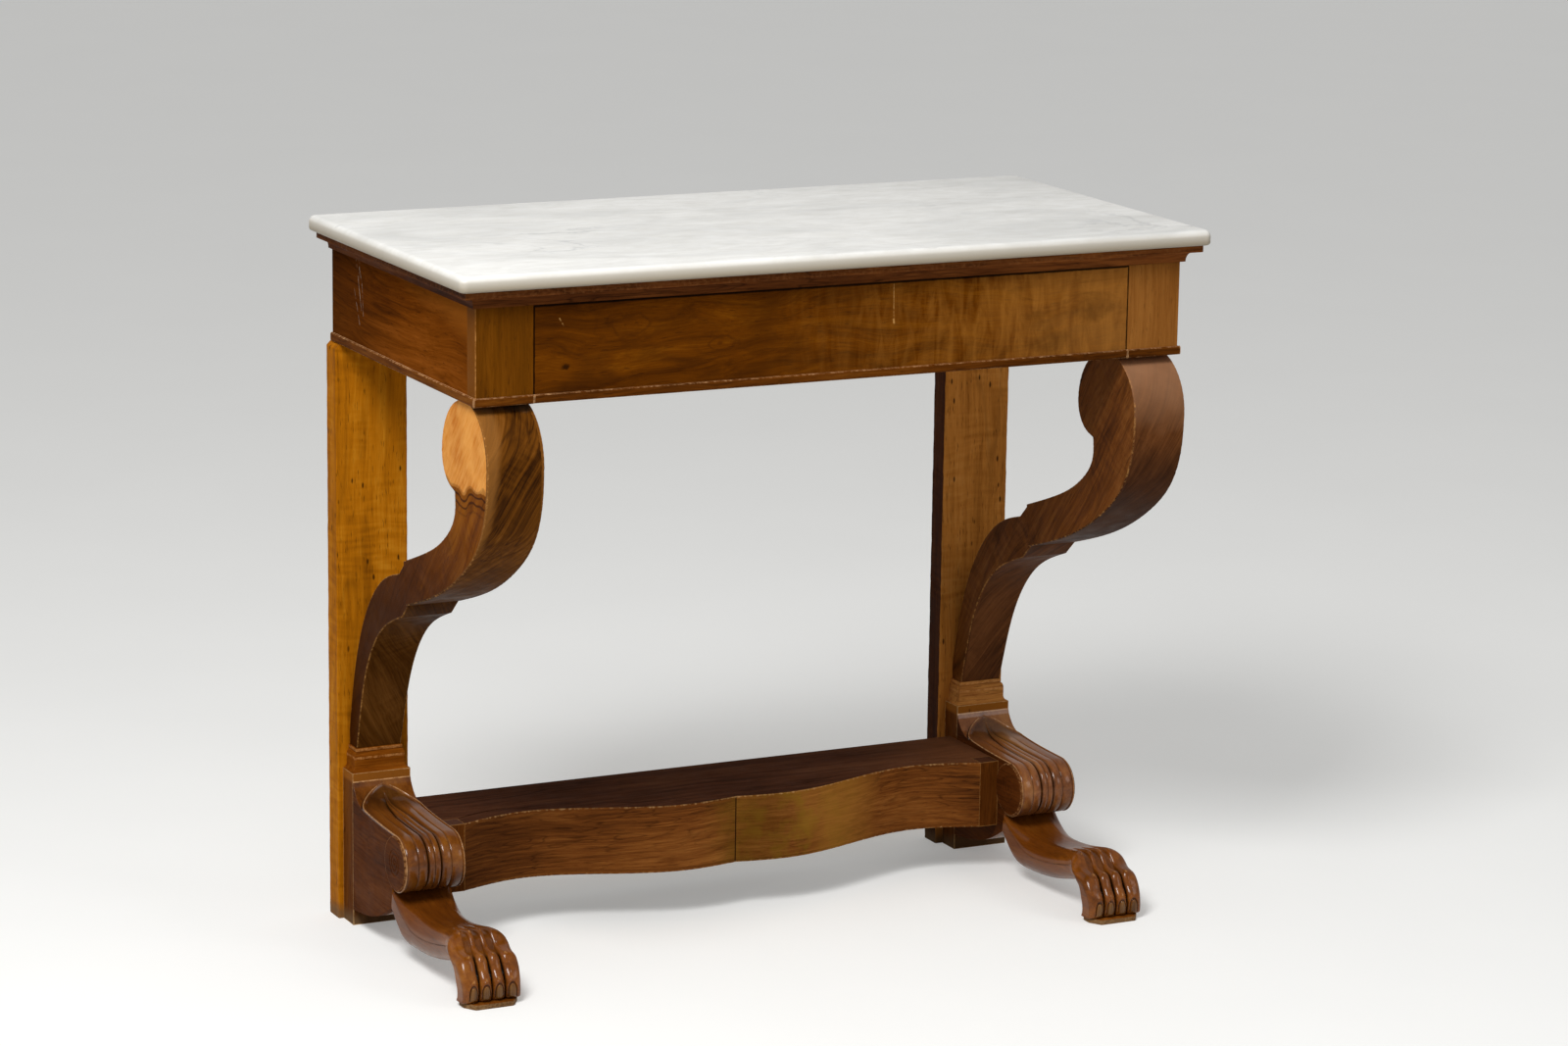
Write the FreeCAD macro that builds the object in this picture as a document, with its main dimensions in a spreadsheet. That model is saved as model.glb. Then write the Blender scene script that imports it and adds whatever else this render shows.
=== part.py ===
import FreeCAD, Part

import math
import os
import re

import Sketcher

# Pier table: a marble slab on a frieze case with one hidden drawer, carried by two S-scroll
# legs in front and two flat posts behind, over a serpentine shelf and two lion-paw feet.
# Millimetres, +Z up, the front faces -Y. X = 0 is the middle of the table, Z = 0 the floor,
# and Y = 0 the middle of the marble's depth.

doc = FreeCAD.newDocument("pier_table")
Vector = FreeCAD.Vector

# ---------------------------------------------------------------- driving dimensions
sheet = doc.addObject("Spreadsheet::Sheet", "Sizes")

SIZES = [
    # frieze case
    ("CaseWidth", 908, "frieze case, side to side"),
    ("CaseDepth", 453, "frieze case, front face to back face"),
    ("CaseHeight", 134.5, "frieze case, underside to marble"),
    ("CaseBottom", 717, "underside of the case above the floor"),
    ("PanelThick", 22, "side panels"),
    ("StileWidth", 70, "front stiles, seen from the front"),
    ("StileThick", 24, "front stiles and top rail"),
    ("BackThick", 16, "back panel"),
    ("EaseRadius", 1.2, "eased edges of the show wood"),
    ("RailHeight", 23, "lower rails of the case"),
    ("RailDepth", 58, "front lower rail, front to back"),
    ("RearRailDepth", 42, "rear lower rail, front to back"),
    ("SideRailWidth", 58, "lower side rails, which the legs are dowelled into"),
    ("FingerRoom", 19, "gap behind the drawer front for the fingers"),
    ("CrossRailWidth", 60, "middle rail under the marble"),
    ("CornerBlock", 34, "glue blocks in the top corners"),
    # cornice and bead
    ("CorniceHeight", 21.5, "cornice"),
    ("CorniceOut", 19.5, "how far the cornice stands out"),
    ("CorniceFillet", 8.8, "flat top band of the cornice"),
    ("CorniceNeck", 10.5, "projection under the flat band"),
    ("CorniceFoot", 4.5, "projection at the bottom of the cornice"),
    ("CorniceStep", 1, "step between the hollow and the flat band of the cornice"),
    ("BeadHeight", 10.5, "bead round the bottom of the case"),
    ("BeadOut", 2.8, "how far the bead stands out"),
    ("BeadRound", 2.5, "rounding of the bead"),
    # marble
    ("TopThick", 18.5, "marble slab"),
    ("OverFront", 28, "marble past the case, front"),
    ("OverSide", 28, "marble past the case, each side"),
    ("OverBack", 10, "marble past the case, back"),
    ("TopRound", 6, "rounded edge of the marble"),
    # drawer
    ("DrawerGap", 0.8, "gap round the drawer front"),
    ("SlideGap", 0.3, "running clearance of the drawer"),
    ("FrontThick", 21, "drawer front"),
    ("BoxInset", 3, "drawer sides inside the ends of the drawer front"),
    ("DrawerBehind", 41, "room between the drawer and the back panel"),
    ("DrawerSideThick", 11, "drawer sides and back"),
    ("BottomThick", 7, "drawer bottom"),
    ("BottomRaise", 8, "drawer bottom above the lower edge of the sides"),
    ("GrooveDepth", 5, "groove that holds the drawer bottom"),
    ("RunnerWidth", 30, "drawer runners"),
    ("RunnerHeight", 18, "drawer runners"),
    ("GuideWidth", 11, "drawer guides"),
    ("GuideHeight", 14, "drawer guides"),
    ("KickerWidth", 66, "kickers over the drawer sides"),
    ("KickerThick", 22, "kickers over the drawer sides"),
    ("KickerGap", 2.5, "kickers above the drawer sides"),
    ("KickerDown", 6.7, "kickers below the underside of the marble"),
    ("StopSize", 18, "drawer stops"),
    # rear posts
    ("PostWidth", 91.5, "rear posts"),
    ("PostThick", 31.5, "rear posts"),
    ("PostOut", 6, "post past the side of the case"),
    ("PostBack", 5.5, "post past the back of the case"),
    # scroll legs
    ("LegInset", 38, "middle plane of each leg inside the side of the case"),
    ("LegFront", 28, "front of the leg's bow before the front of the case"),
    ("HeadRadius", 69, "round head of the leg"),
    ("HeadFlat", 0.5, "flat on the head where it meets the case"),
    ("CurlRadius", 39, "curl under the back of the head"),
    ("ScrollWidth", 69, "upper part of the leg"),
    ("ShankTopWidth", 64, "shank at the shoulder"),
    ("ShankFootWidth", 57, "shank at its foot"),
    ("ShankDepth", 24, "shank at its foot, front to back"),
    # moulded base and plinth
    ("CapTop", 221, "top of the base moulding above the floor"),
    ("PlinthTop", 192, "top of the plinth block above the floor"),
    ("PlinthWidth", 75, "plinth block, volute and foot"),
    ("BaseLedge", 1.5, "base moulding's top band past the shank"),
    ("BaseBand", 5, "base moulding's top band, height"),
    ("BaseLip", 1, "base moulding's top band past the head of its ovolo"),
    ("BaseOvolo", 7, "base moulding's ovolo, height"),
    ("BaseFascia", 10, "base moulding's flat, height"),
    ("BaseSwell", 2.6, "base moulding's flat past its top band"),
    # carved foot
    ("VoluteRadius", 35, "rolled end of the volute"),
    ("VoluteReach", 177, "axis of the volute before the face of the posts"),
    ("VoluteTop", 153, "crown of the volute above the floor"),
    ("TongueTop", 182, "where the volute's tongue leaves the plinth"),
    ("HeelRaise", 20, "underside of the volute block at the plinth"),
    ("ArchRaise", 58, "underside of the volute block at the ankle"),
    ("AnkleReach", 160, "joint of ankle and volute before the face of the posts"),
    ("PawFront", 31, "front of the paw's base pad"),
    ("PawHeel", 60, "heel of the paw at the floor"),
    ("PawWidth", 76, "across the four toes"),
    ("AnkleWidth", 69, "ankle at its narrowest"),
    ("PawHeight", 75, "upper knuckles of the paw above the floor"),
    ("ToeSplit", 1, "groove between two toes"),
    ("ToeInset", 5, "toes' tips behind the front of the base pad"),
    ("PawTaper", 6, "paw narrower at the toes' tips, each side"),
    ("WebDepth", 1.5, "web between the toes behind their faces"),
    ("PadThick", 6, "base pad under the paw"),
    ("PadInset", 1, "base pad inside the sides of the paw"),
    ("PadWidth", 56, "base pad at its front"),
    ("PadCorner", 14, "cut corners of the base pad, front to back"),
    # shelf
    ("ShelfTop", 148, "top of the shelf above the floor"),
    ("ShelfThick", 22, "shelf board"),
    ("FasciaHeight", 84.5, "front band of the shelf"),
    ("FasciaThick", 24, "front band of the shelf"),
    ("EndWidth", 26, "straight end block of the shelf"),
    ("ShelfGap", 15, "back edge of the shelf before the face of the posts"),
    ("EndDepth", 131, "shelf at its end blocks, front to back"),
    ("HollowDepth", 110, "shelf at its hollows, front to back"),
    ("LobeDepth", 158.5, "shelf at its lobes, front to back"),
    ("NotchDepth", 150, "shelf at its middle, front to back"),
    ("ShelfRailDepth", 22, "rail under the back of the shelf"),
    ("ShelfRailHeight", 60, "rail under the back of the shelf"),
    ("ShelfBlock", 20, "glue blocks behind the shelf's front band"),
    ("ShelfBlockGap", 4, "glue blocks clear of the curved band"),
    # fastenings
    ("DowelRadius", 4, "dowels"),
    ("DowelReach", 22, "dowel length in each piece"),
    ("DowelStop", 4, "dowel hole's end below the top of the rail"),
    ("LegDowelIn", 8, "leg dowel inside the leg's middle plane"),
    ("PostDowelIn", 26, "inner post dowel inside the leg's middle plane"),
    ("PostDowelStep", 28, "between the two post dowels"),
    ("PostDowelBack", 5.5, "post dowels behind the face of the post"),
    ("ScrewRadius", 2.4, "screws"),
    ("ScrewReach", 24, "screw length past the post"),
    ("ScrewHead", 4.6, "radius of the screw heads"),
    ("ScrewHeadDeep", 3.2, "countersink of the screws"),
]

for row, (alias, value, note) in enumerate(SIZES, start=1):
    sheet.set("A%d" % row, str(value))
    sheet.setAlias("A%d" % row, alias)
    sheet.set("B%d" % row, note)
doc.recompute()

# Places that several pieces share, as formulas of the sizes above. Depths (Y) are counted
# from the front face of the case, and MID moves them to the middle of the marble's depth.
MID = "(CaseDepth + OverBack - OverFront) / 2"
CASE_TOP = "(CaseBottom + CaseHeight)"
HALF = "(CaseWidth / 2)"
INNER = "(CaseWidth / 2 - PanelThick)"
OPENING = "(CaseWidth / 2 - StileWidth)"
BACK_IN = "(CaseDepth - BackThick)"
RAIL_TOP = "(CaseBottom + RailHeight)"
CORNICE_FOOT = "(CaseBottom + CaseHeight - CorniceHeight)"
SIDE_RAIL_IN = "(CaseWidth / 2 - PanelThick - SideRailWidth)"
FRONT_RAIL = "(FrontThick + FingerRoom)"
BOX_HALF = "(CaseWidth / 2 - StileWidth - DrawerGap - BoxInset)"
BOX_FLOOR = "(CaseBottom + RailHeight + SlideGap)"
SHEET_FLOOR = "(CaseBottom + RailHeight + SlideGap + BottomRaise)"
DRAWER_END = "(CaseDepth - BackThick - DrawerBehind)"
POST_FACE = "(CaseDepth + PostBack - PostThick)"
LEG = "(CaseWidth / 2 - LegInset)"
LEG_IN = f"({LEG} - PlinthWidth / 2)"
LEG_OUT = f"({LEG} + PlinthWidth / 2)"
SHELF_BACK = f"({POST_FACE} - ShelfGap)"
SHELF_FLOOR = "(ShelfTop - ShelfThick)"

WORDS = {alias for alias, value, note in SIZES}


def tied(formula):
    """The formula as an expression that reads the sheet from any other object."""
    def in_sheet(word):
        return "Sizes." + word[0] if word[0] in WORDS else word[0]

    return re.sub(r"[A-Z][A-Za-z]+", in_sheet, formula)


def size(formula):
    """The present value of a formula."""
    return float(sheet.evalExpression(formula))


def centred(half):
    """From minus a half-width to plus it."""
    return ("-" + half, half)


def after(start, length):
    """A stretch of that length that begins at start."""
    return (start, f"({start} + {length})")


def before(end, length):
    """A stretch of that length that stops at end."""
    return (f"({end} - {length})", end)


parts = []


def keep(thing, label):
    """Names a finished sub-part, which is then exported under that name."""
    thing.Label = label
    parts.append(thing)
    return thing


def bind(thing, **formulas):
    for name, formula in formulas.items():
        thing.setExpression(name, tied(formula))


def place(thing, x="0", y="0", z="0"):
    """Puts a thing at x, y, z, with y counted from the front face of the case."""
    thing.setExpression("Placement.Base.x", tied(x))
    thing.setExpression("Placement.Base.y", tied("(%s) - %s" % (y, MID)))
    thing.setExpression("Placement.Base.z", tied(z))


def other_side(thing, label):
    """The same piece for the left-hand side."""
    twin = doc.addObject("Part::Mirroring", "Twin")
    twin.Source = thing
    twin.Normal = Vector(1, 0, 0)
    return keep(twin, label)


def both(thing, name):
    keep(thing, name + "_right")
    other_side(thing, name + "_left")


def board(xs, ys, zs):
    """A plain board between two values of x, of y and of z."""
    box = doc.addObject("Part::Box", "Board")
    bind(box, Length="(%s) - (%s)" % (xs[1], xs[0]), Width="(%s) - (%s)" % (ys[1], ys[0]),
         Height="(%s) - (%s)" % (zs[1], zs[0]))
    place(box, xs[0], ys[0], zs[0])
    return box


def edges_where(shape, test):
    """Names of the edges whose middle point passes the test."""
    names = []
    for number, edge in enumerate(shape.Edges, start=1):
        middle = edge.valueAt((edge.FirstParameter + edge.LastParameter) / 2)
        if test(middle, edge):
            names.append("Edge%d" % number)
    return names


def eased_board(xs, ys, zs, radius, test):
    """A board as a body, with the edges that pass the test rounded over. The test gets the
    edge's middle as shares of the board's length, width and height, and the edge."""
    body = doc.addObject("PartDesign::Body", "Body")
    block = body.newObject("PartDesign::AdditiveBox", "Block")
    bind(block, Length="(%s) - (%s)" % (xs[1], xs[0]), Width="(%s) - (%s)" % (ys[1], ys[0]),
         Height="(%s) - (%s)" % (zs[1], zs[0]))
    place(body, xs[0], ys[0], zs[0])
    doc.recompute()
    spans = Vector(float(block.Length), float(block.Width), float(block.Height))

    def shares(middle, edge):
        return test(middle.x / spans.x, middle.y / spans.y, middle.z / spans.z, edge)

    names = edges_where(block.Shape, shares)
    rounding = body.newObject("PartDesign::Fillet", "Rounding")
    rounding.Base = (block, names)
    bind(rounding, Radius=radius)
    body.Tip = rounding
    doc.recompute()
    return body


def near(value, target):
    return abs(value - target) < 1e-3


def upright(edge):
    return abs(edge.tangentAt(edge.FirstParameter).z) > 0.99


def outline_sketch(body, role, loops):
    """A sketch of straight-sided loops on an origin plane of the body. Each corner is two
    formulas, bound as its distances from the origin."""
    plane = [p for p in body.Origin.OriginFeatures if p.Role == role][0]
    sketch = body.newObject("Sketcher::SketchObject", "Outline")
    sketch.AttachmentSupport = [(plane, "")]
    sketch.MapMode = "FlatFace"
    for corners in loops:
        first = sketch.GeometryCount
        points = [Vector(size(u), size(w), 0) for u, w in corners]
        for here, there in zip(points, points[1:] + points[:1]):
            sketch.addGeometry(Part.LineSegment(here, there), False)
        for number, (u, w) in enumerate(corners):
            this_line = first + number
            next_line = first + (number + 1) % len(corners)
            sketch.addConstraint(Sketcher.Constraint("Coincident", this_line, 2, next_line, 1))
            corner = points[number]
            for kind, value, formula in (("DistanceX", corner.x, u), ("DistanceY", corner.y, w)):
                distance = Sketcher.Constraint(kind, -1, 1, this_line, 1, value)
                sketch.setExpression("Constraints[%d]" % sketch.addConstraint(distance), tied(formula))
    return sketch


def solid_of(wire, along):
    """The solid made by moving a closed flat outline along a vector."""
    return Part.Face(wire).extrude(along)


def feature(shape, name, x="0", z="0"):
    """A shape worked out in this file, as an object of the document."""
    thing = doc.addObject("Part::Feature", name)
    thing.Shape = shape
    place(thing, x, "0", z)
    return thing


def curve(points, start=None, end=None):
    """A smooth curve through a few points, with optional directions at its two ends."""
    spline = Part.BSplineCurve()
    if start is None:
        spline.interpolate(points)
    else:
        spline.interpolate(Points=points, InitialTangent=start, FinalTangent=end)
    return spline.toShape()


def line(here, there):
    return Part.LineSegment(here, there).toShape()


# ---------------------------------------------------------------- dowels and screws
# Beech dowels join legs and posts to the lower side rails, and the shelf's back rail to the
# plinth blocks. Steel screws go through each post into its plinth block.
def peg(radius, length, direction, x, y, z):
    pin = doc.addObject("Part::Cylinder", "Peg")
    bind(pin, Radius=radius, Height=length)
    pin.Placement.Rotation = FreeCAD.Rotation(Vector(0, 0, 1), direction)
    place(pin, x, y, z)
    return pin


def gather(things, name):
    group = doc.addObject("Part::Compound", name)
    group.Links = things
    return group


HEAD_BACK = "(HeadRadius - LegFront)"
UPRIGHT = Vector(0, 0, 1)
ACROSS = Vector(1, 0, 0)
BACKWARD = Vector(0, 1, 0)
FORWARD = Vector(0, -1, 0)

UP_LENGTH = "DowelReach + RailHeight - DowelStop"
UP_FLOOR = "CaseBottom - DowelReach"
pegs = [peg("DowelRadius", UP_LENGTH, UPRIGHT, LEG + " - LegDowelIn", HEAD_BACK, UP_FLOOR)]
for place_x in (LEG + " - PostDowelIn", LEG + " - PostDowelIn + PostDowelStep"):
    pegs.append(peg("DowelRadius", UP_LENGTH, UPRIGHT, place_x, POST_FACE + " + PostDowelBack", UP_FLOOR))
for rise in ("ShelfRailHeight / 4", "3 * ShelfRailHeight / 4"):
    pegs.append(peg("DowelRadius", "2 * DowelReach", ACROSS, LEG_IN + " - DowelReach",
                    SHELF_BACK + " - ShelfRailDepth / 2", SHELF_FLOOR + " - " + rise))
dowels_right = gather(pegs, "DowelsRight")

screws = []
for rise in ("PlinthTop / 4", "3 * PlinthTop / 4"):
    shank = peg("ScrewRadius", "PostThick + ScrewReach", FORWARD, LEG, POST_FACE + " + PostThick", rise)
    head = doc.addObject("Part::Cone", "Head")
    bind(head, Radius1="ScrewHead", Radius2="ScrewRadius", Height="ScrewHeadDeep")
    head.Placement.Rotation = FreeCAD.Rotation(Vector(0, 0, 1), FORWARD)
    place(head, LEG, POST_FACE + " + PostThick", rise)
    screw = doc.addObject("Part::Fuse", "Screw")
    screw.Base = shank
    screw.Tool = head
    screws.append(screw)
screws_right = gather(screws, "ScrewsRight")


def mirrored(thing):
    twin = doc.addObject("Part::Mirroring", "Twin")
    twin.Source = thing
    twin.Normal = Vector(1, 0, 0)
    return twin


keep(gather([dowels_right, mirrored(dowels_right)], "Dowels"), "dowels")
keep(gather([screws_right, mirrored(screws_right)], "Screws"), "post_screws")


def drilled(thing, pins):
    """The piece with the holes that the pins sit in."""
    hole = doc.addObject("Part::Cut", "Drilled")
    hole.Base = thing
    hole.Tool = pins
    return hole


# ---------------------------------------------------------------- frieze case
def outer_front_edge(x, y, z, edge):
    return upright(edge) and near(x, 1) and near(y, 0)


def rear_corner(x, y, z, edge):
    return upright(edge) and near(x, 1) and near(y, 1)


CASE_SPAN = ("CaseBottom", CASE_TOP)
stile = eased_board((OPENING, HALF), ("0", "StileThick"), CASE_SPAN, "EaseRadius", outer_front_edge)
both(stile, "stile")

panel = eased_board((INNER, HALF), ("StileThick", "CaseDepth"), CASE_SPAN, "EaseRadius", rear_corner)
both(panel, "side_panel")

RAIL_SPAN = ("CaseBottom", RAIL_TOP)
TOP_SPAN = (CORNICE_FOOT, CASE_TOP)
keep(board(centred(INNER), (BACK_IN, "CaseDepth"), CASE_SPAN), "back_panel")
keep(board(centred(OPENING), ("0", "StileThick"), TOP_SPAN), "top_rail")
keep(board(centred(SIDE_RAIL_IN), after(FRONT_RAIL, "RailDepth"), RAIL_SPAN), "lower_rail")
keep(board(centred(SIDE_RAIL_IN), before(BACK_IN, "RearRailDepth"), RAIL_SPAN), "lower_back_rail")
keep(board(centred("(CrossRailWidth / 2)"), ("StileThick", BACK_IN), TOP_SPAN), "top_cross_rail")

side_rail = board((SIDE_RAIL_IN, INNER), ("StileThick", BACK_IN), RAIL_SPAN)
both(drilled(side_rail, dowels_right), "lower_side_rail")

# ---------------------------------------------------------------- drawer runners, guides, kickers, stops
KICKER_TOP = f"({CASE_TOP} - KickerDown)"
BOX_TOP = f"({KICKER_TOP} - KickerThick - KickerGap)"
GUIDE_IN = f"({BOX_HALF} + SlideGap)"
RAILS_GAP = (f"({FRONT_RAIL} + RailDepth)", f"({BACK_IN} - RearRailDepth)")

runner = board(before(SIDE_RAIL_IN, "RunnerWidth"), RAILS_GAP, before(RAIL_TOP, "RunnerHeight"))
both(runner, "drawer_runner")
guide = board(after(GUIDE_IN, "GuideWidth"), ("StileThick", RAILS_GAP[1]), after(RAIL_TOP, "GuideHeight"))
both(guide, "drawer_guide")
kicker = board(before(INNER, "KickerWidth"), ("StileThick", BACK_IN), before(KICKER_TOP, "KickerThick"))
both(kicker, "drawer_kicker")

stop = board(before(SIDE_RAIL_IN, "2 * StopSize"), after(f"({DRAWER_END} + SlideGap)", "StopSize"),
             after(RAIL_TOP, "StopSize"))
keep(gather([stop, mirrored(stop)], "Stops"), "drawer_stops")

blocks = []
for depth in (after("StileThick", "CornerBlock"), before(BACK_IN, "CornerBlock")):
    blocks.append(board(before(f"({INNER} - KickerWidth)", "CornerBlock"), depth, TOP_SPAN))
keep(gather(blocks + [mirrored(block) for block in blocks], "CornerBlocks"), "corner_blocks")

# ---------------------------------------------------------------- cornice
# A flat band over a hollow, run along the front and both sides, and mitred at the corners.
COVE_STEPS = 5


def cornice_profile(sign):
    """Corners of the section: how far it stands out, and its height above the cornice foot.
    The hollow under the flat band is a quarter of an ellipse in COVE_STEPS short facets."""
    corners = [("0", "0"), ("0", "CorniceHeight"), (sign + "CorniceOut", "CorniceHeight"),
               (sign + "CorniceOut", "CorniceHeight - CorniceFillet")]
    for step in range(COVE_STEPS + 1):
        turn = math.pi / 2 * step / COVE_STEPS
        out = "%s(CorniceFoot + (CorniceNeck - CorniceFoot) * %.6f)" % (sign, 1 - math.sin(turn))
        up = "(CorniceHeight - CorniceFillet - CorniceStep) * %.6f" % math.cos(turn)
        corners.append((out, up))
    return corners


def mitred(body, corners, role, mitre, length):
    """The section carried along the length, with its ends cut off by the mitre loops."""
    section = outline_sketch(body, role, [corners])
    pad = body.newObject("PartDesign::Pad", "Moulding")
    pad.Profile = section
    bind(pad, Length=length)
    pad.Midplane = True
    doc.recompute()
    whole = pad.Shape.Volume
    cut = body.newObject("PartDesign::Pocket", "Mitre")
    cut.Profile = outline_sketch(body, "XY_Plane", mitre)
    cut.Type = "ThroughAll"
    cut.Midplane = True
    body.Tip = cut
    doc.recompute()
    if cut.Shape.Volume > whole - 1:
        raise RuntimeError("a mitre cuts nothing")
    return body


front_moulding = doc.addObject("PartDesign::Body", "CorniceFront")
REACH = "(CaseWidth / 2 + CorniceOut)"
PAST = "(CaseWidth / 2 + 2 * CorniceOut)"
corner_cuts = []
for hand in ("", "-"):
    corner_cuts.append([(hand + HALF, "0"), (hand + REACH, "-CorniceOut"),
                        (hand + PAST, "-CorniceOut"), (hand + PAST, "0")])
mitred(front_moulding, cornice_profile("-"), "YZ_Plane", corner_cuts, "CaseWidth + 3 * CorniceOut")
place(front_moulding, "0", "0", CORNICE_FOOT)
keep(front_moulding, "cornice_front")

side_moulding = doc.addObject("PartDesign::Body", "CorniceSide")
side_cut = [[("0", "-2 * CaseDepth"), ("0", "0"), ("CorniceOut", "-CorniceOut"),
             ("2 * CorniceOut", "-CorniceOut"), ("2 * CorniceOut", "-2 * CaseDepth")]]
mitred(side_moulding, cornice_profile(""), "XZ_Plane", side_cut, "2 * CaseDepth")
place(side_moulding, HALF, "0", CORNICE_FOOT)
both(side_moulding, "cornice_side")


# ---------------------------------------------------------------- bead
# A half-round bead along the bottom of the sides, the stiles and the drawer front.
def front_lines(x, y, z, edge):
    return near(y, 0) and near(x, 0.5)


def side_lines(x, y, z, edge):
    return near(x, 1) and near(y, 0.5)


BEAD_TOP = "(CaseBottom + BeadHeight)"
BEAD_SPAN = ("CaseBottom", BEAD_TOP)
bead = eased_board((OPENING, f"({HALF} + BeadOut)"), ("-BeadOut", "0"), BEAD_SPAN, "BeadRound", front_lines)
both(bead, "bead_stile")
bead = eased_board(after(HALF, "BeadOut"), ("0", "CaseDepth"), BEAD_SPAN, "BeadRound", side_lines)
both(bead, "bead_side")

# ---------------------------------------------------------------- drawer
FRONT_HALF = f"({OPENING} - DrawerGap)"
FRONT_FLOOR = "(CaseBottom + SlideGap)"
FRONT_TOP = f"({CORNICE_FOOT} - DrawerGap)"
BOX_INNER = f"({BOX_HALF} - DrawerSideThick)"
GROOVE_HALF = f"({BOX_INNER} + GrooveDepth)"
GROOVE_FRONT = "(FrontThick - GrooveDepth)"
SHEET_SPAN = after(SHEET_FLOOR, "BottomThick")

bead = eased_board(centred(FRONT_HALF), ("-BeadOut", "0"), (FRONT_FLOOR, BEAD_TOP), "BeadRound", front_lines)
keep(bead, "drawer_bead")

groove = board(centred(GROOVE_HALF), (GROOVE_FRONT, DRAWER_END), SHEET_SPAN)
face = board(centred(FRONT_HALF), ("0", "FrontThick"), (FRONT_FLOOR, FRONT_TOP))
keep(drilled(face, groove), "drawer_front")
cheek = board((BOX_INNER, BOX_HALF), ("FrontThick", DRAWER_END), (BOX_FLOOR, BOX_TOP))
both(drilled(cheek, groove), "drawer_side")
back = board(centred(BOX_INNER), before(DRAWER_END, "DrawerSideThick"), (SHEET_SPAN[1], BOX_TOP))
keep(back, "drawer_back")
keep(board(centred(GROOVE_HALF), (GROOVE_FRONT, DRAWER_END), SHEET_SPAN), "drawer_bottom")


# ---------------------------------------------------------------- marble
def slab_edges(x, y, z, edge):
    return not upright(edge) or near(y, 0)


slab = eased_board(("-%s - OverSide" % HALF, HALF + " + OverSide"), ("-OverFront", "CaseDepth + OverBack"),
                   (CASE_TOP, CASE_TOP + " + TopThick"), "TopRound", slab_edges)
keep(slab, "marble_top")


# ---------------------------------------------------------------- rear posts
def post_edges(x, y, z, edge):
    return upright(edge)


POST_OUT = "(CaseWidth / 2 + PostOut)"
post = eased_board(before(POST_OUT, "PostWidth"), after(POST_FACE, "PostThick"), ("0", "CaseBottom"),
                   "EaseRadius", post_edges)
both(drilled(drilled(post, dowels_right), screws_right), "rear_post")

# ---------------------------------------------------------------- scroll legs
# Each leg is sawn to an S from thick stock: a round head under the case, a bow to the front,
# a shoulder half way, and a thinner shank that runs back and down to the face of the post.
# Curve points are shares of the leg's reach (front to post) and rise (moulding to case).
BOW_SHARES = [(0.007, 0.786), (0.048, 0.692), (0.156, 0.599), (0.309, 0.520), (0.550, 0.4415)]
SHANK_FRONT_SHARES = [(0.5965, 0.4032), (0.752, 0.3367), (0.868, 0.2097), (0.921, 0.0827)]
NECK_SHARES = [(0.215, 0.734), (0.2785, 0.6613), (0.4145, 0.5968), (0.568, 0.5464)]
SHANK_BACK_SHARES = [(0.616, 0.506), (0.717, 0.4758), (0.862, 0.3609), (0.958, 0.1835), (1.0, 0.038)]

reach = size(POST_FACE + " + LegFront")
rise = size("CaseBottom - CapTop")


def on_leg(shares):
    """Points of the leg's side view, from shares of its reach and rise."""
    return [Vector(0, size("-LegFront") + u * reach, size("CapTop") + w * rise) for u, w in shares]


head_radius = size("HeadRadius")
head = Vector(0, size(HEAD_BACK), size("CaseBottom + HeadFlat - HeadRadius"))
flat_half = math.sqrt(head_radius ** 2 - (size("CaseBottom") - head.z) ** 2)
curl_radius = size("CurlRadius")
curl = head + Vector(0, head_radius - curl_radius, 0)


def around(centre, radius, degrees):
    turn = math.radians(degrees)
    return centre + Vector(0, radius * math.cos(turn), radius * math.sin(turn))


def arc(centre, radius, start, middle, end):
    """An arc in the side view through three directions, in degrees up from straight back."""
    return Part.Arc(around(centre, radius, start), around(centre, radius, middle),
                    around(centre, radius, end)).toShape()


flat_back = head + Vector(0, flat_half, size("CaseBottom") - head.z)
flat_front = head + Vector(0, -flat_half, size("CaseBottom") - head.z)
bow_start = around(head, head_radius, 180)
neck_start = around(curl, curl_radius, -90)
back_tip = around(head, head_radius, 0)

bow = [bow_start] + on_leg(BOW_SHARES)
neck = [neck_start] + on_leg(NECK_SHARES)
shank_front = on_leg(SHANK_FRONT_SHARES)
shank_back = on_leg(SHANK_BACK_SHARES)
foot_front = Vector(0, size(POST_FACE + " - ShankDepth"), size("CapTop"))
foot_back = Vector(0, size(POST_FACE), size("CapTop"))

upper_wire = Part.Wire([
    line(flat_front, flat_back),
    Part.Arc(flat_back, around(head, head_radius, 45), back_tip).toShape(),
    arc(curl, curl_radius, 0, -45, -90),
    curve(neck),
    line(neck[-1], bow[-1]),
    curve(list(reversed(bow))),
    Part.Arc(bow_start, around(head, head_radius, 135), flat_front).toShape(),
])
lower_wire = Part.Wire([
    line(bow[-1], neck[-1]),
    line(neck[-1], shank_back[0]),
    curve(shank_back),
    line(shank_back[-1], foot_back),
    line(foot_back, foot_front),
    curve([foot_front] + list(reversed(shank_front))),
    line(shank_front[0], bow[-1]),
])


def rectangle(half_width, z):
    """A level rectangle round the leg, longer than the leg is deep, for tapering its sides."""
    near_y = -2 * reach
    far_y = 2 * reach
    corners = [Vector(-half_width, near_y, z), Vector(half_width, near_y, z),
               Vector(half_width, far_y, z), Vector(-half_width, far_y, z)]
    return Part.makePolygon(corners + corners[:1])


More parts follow.
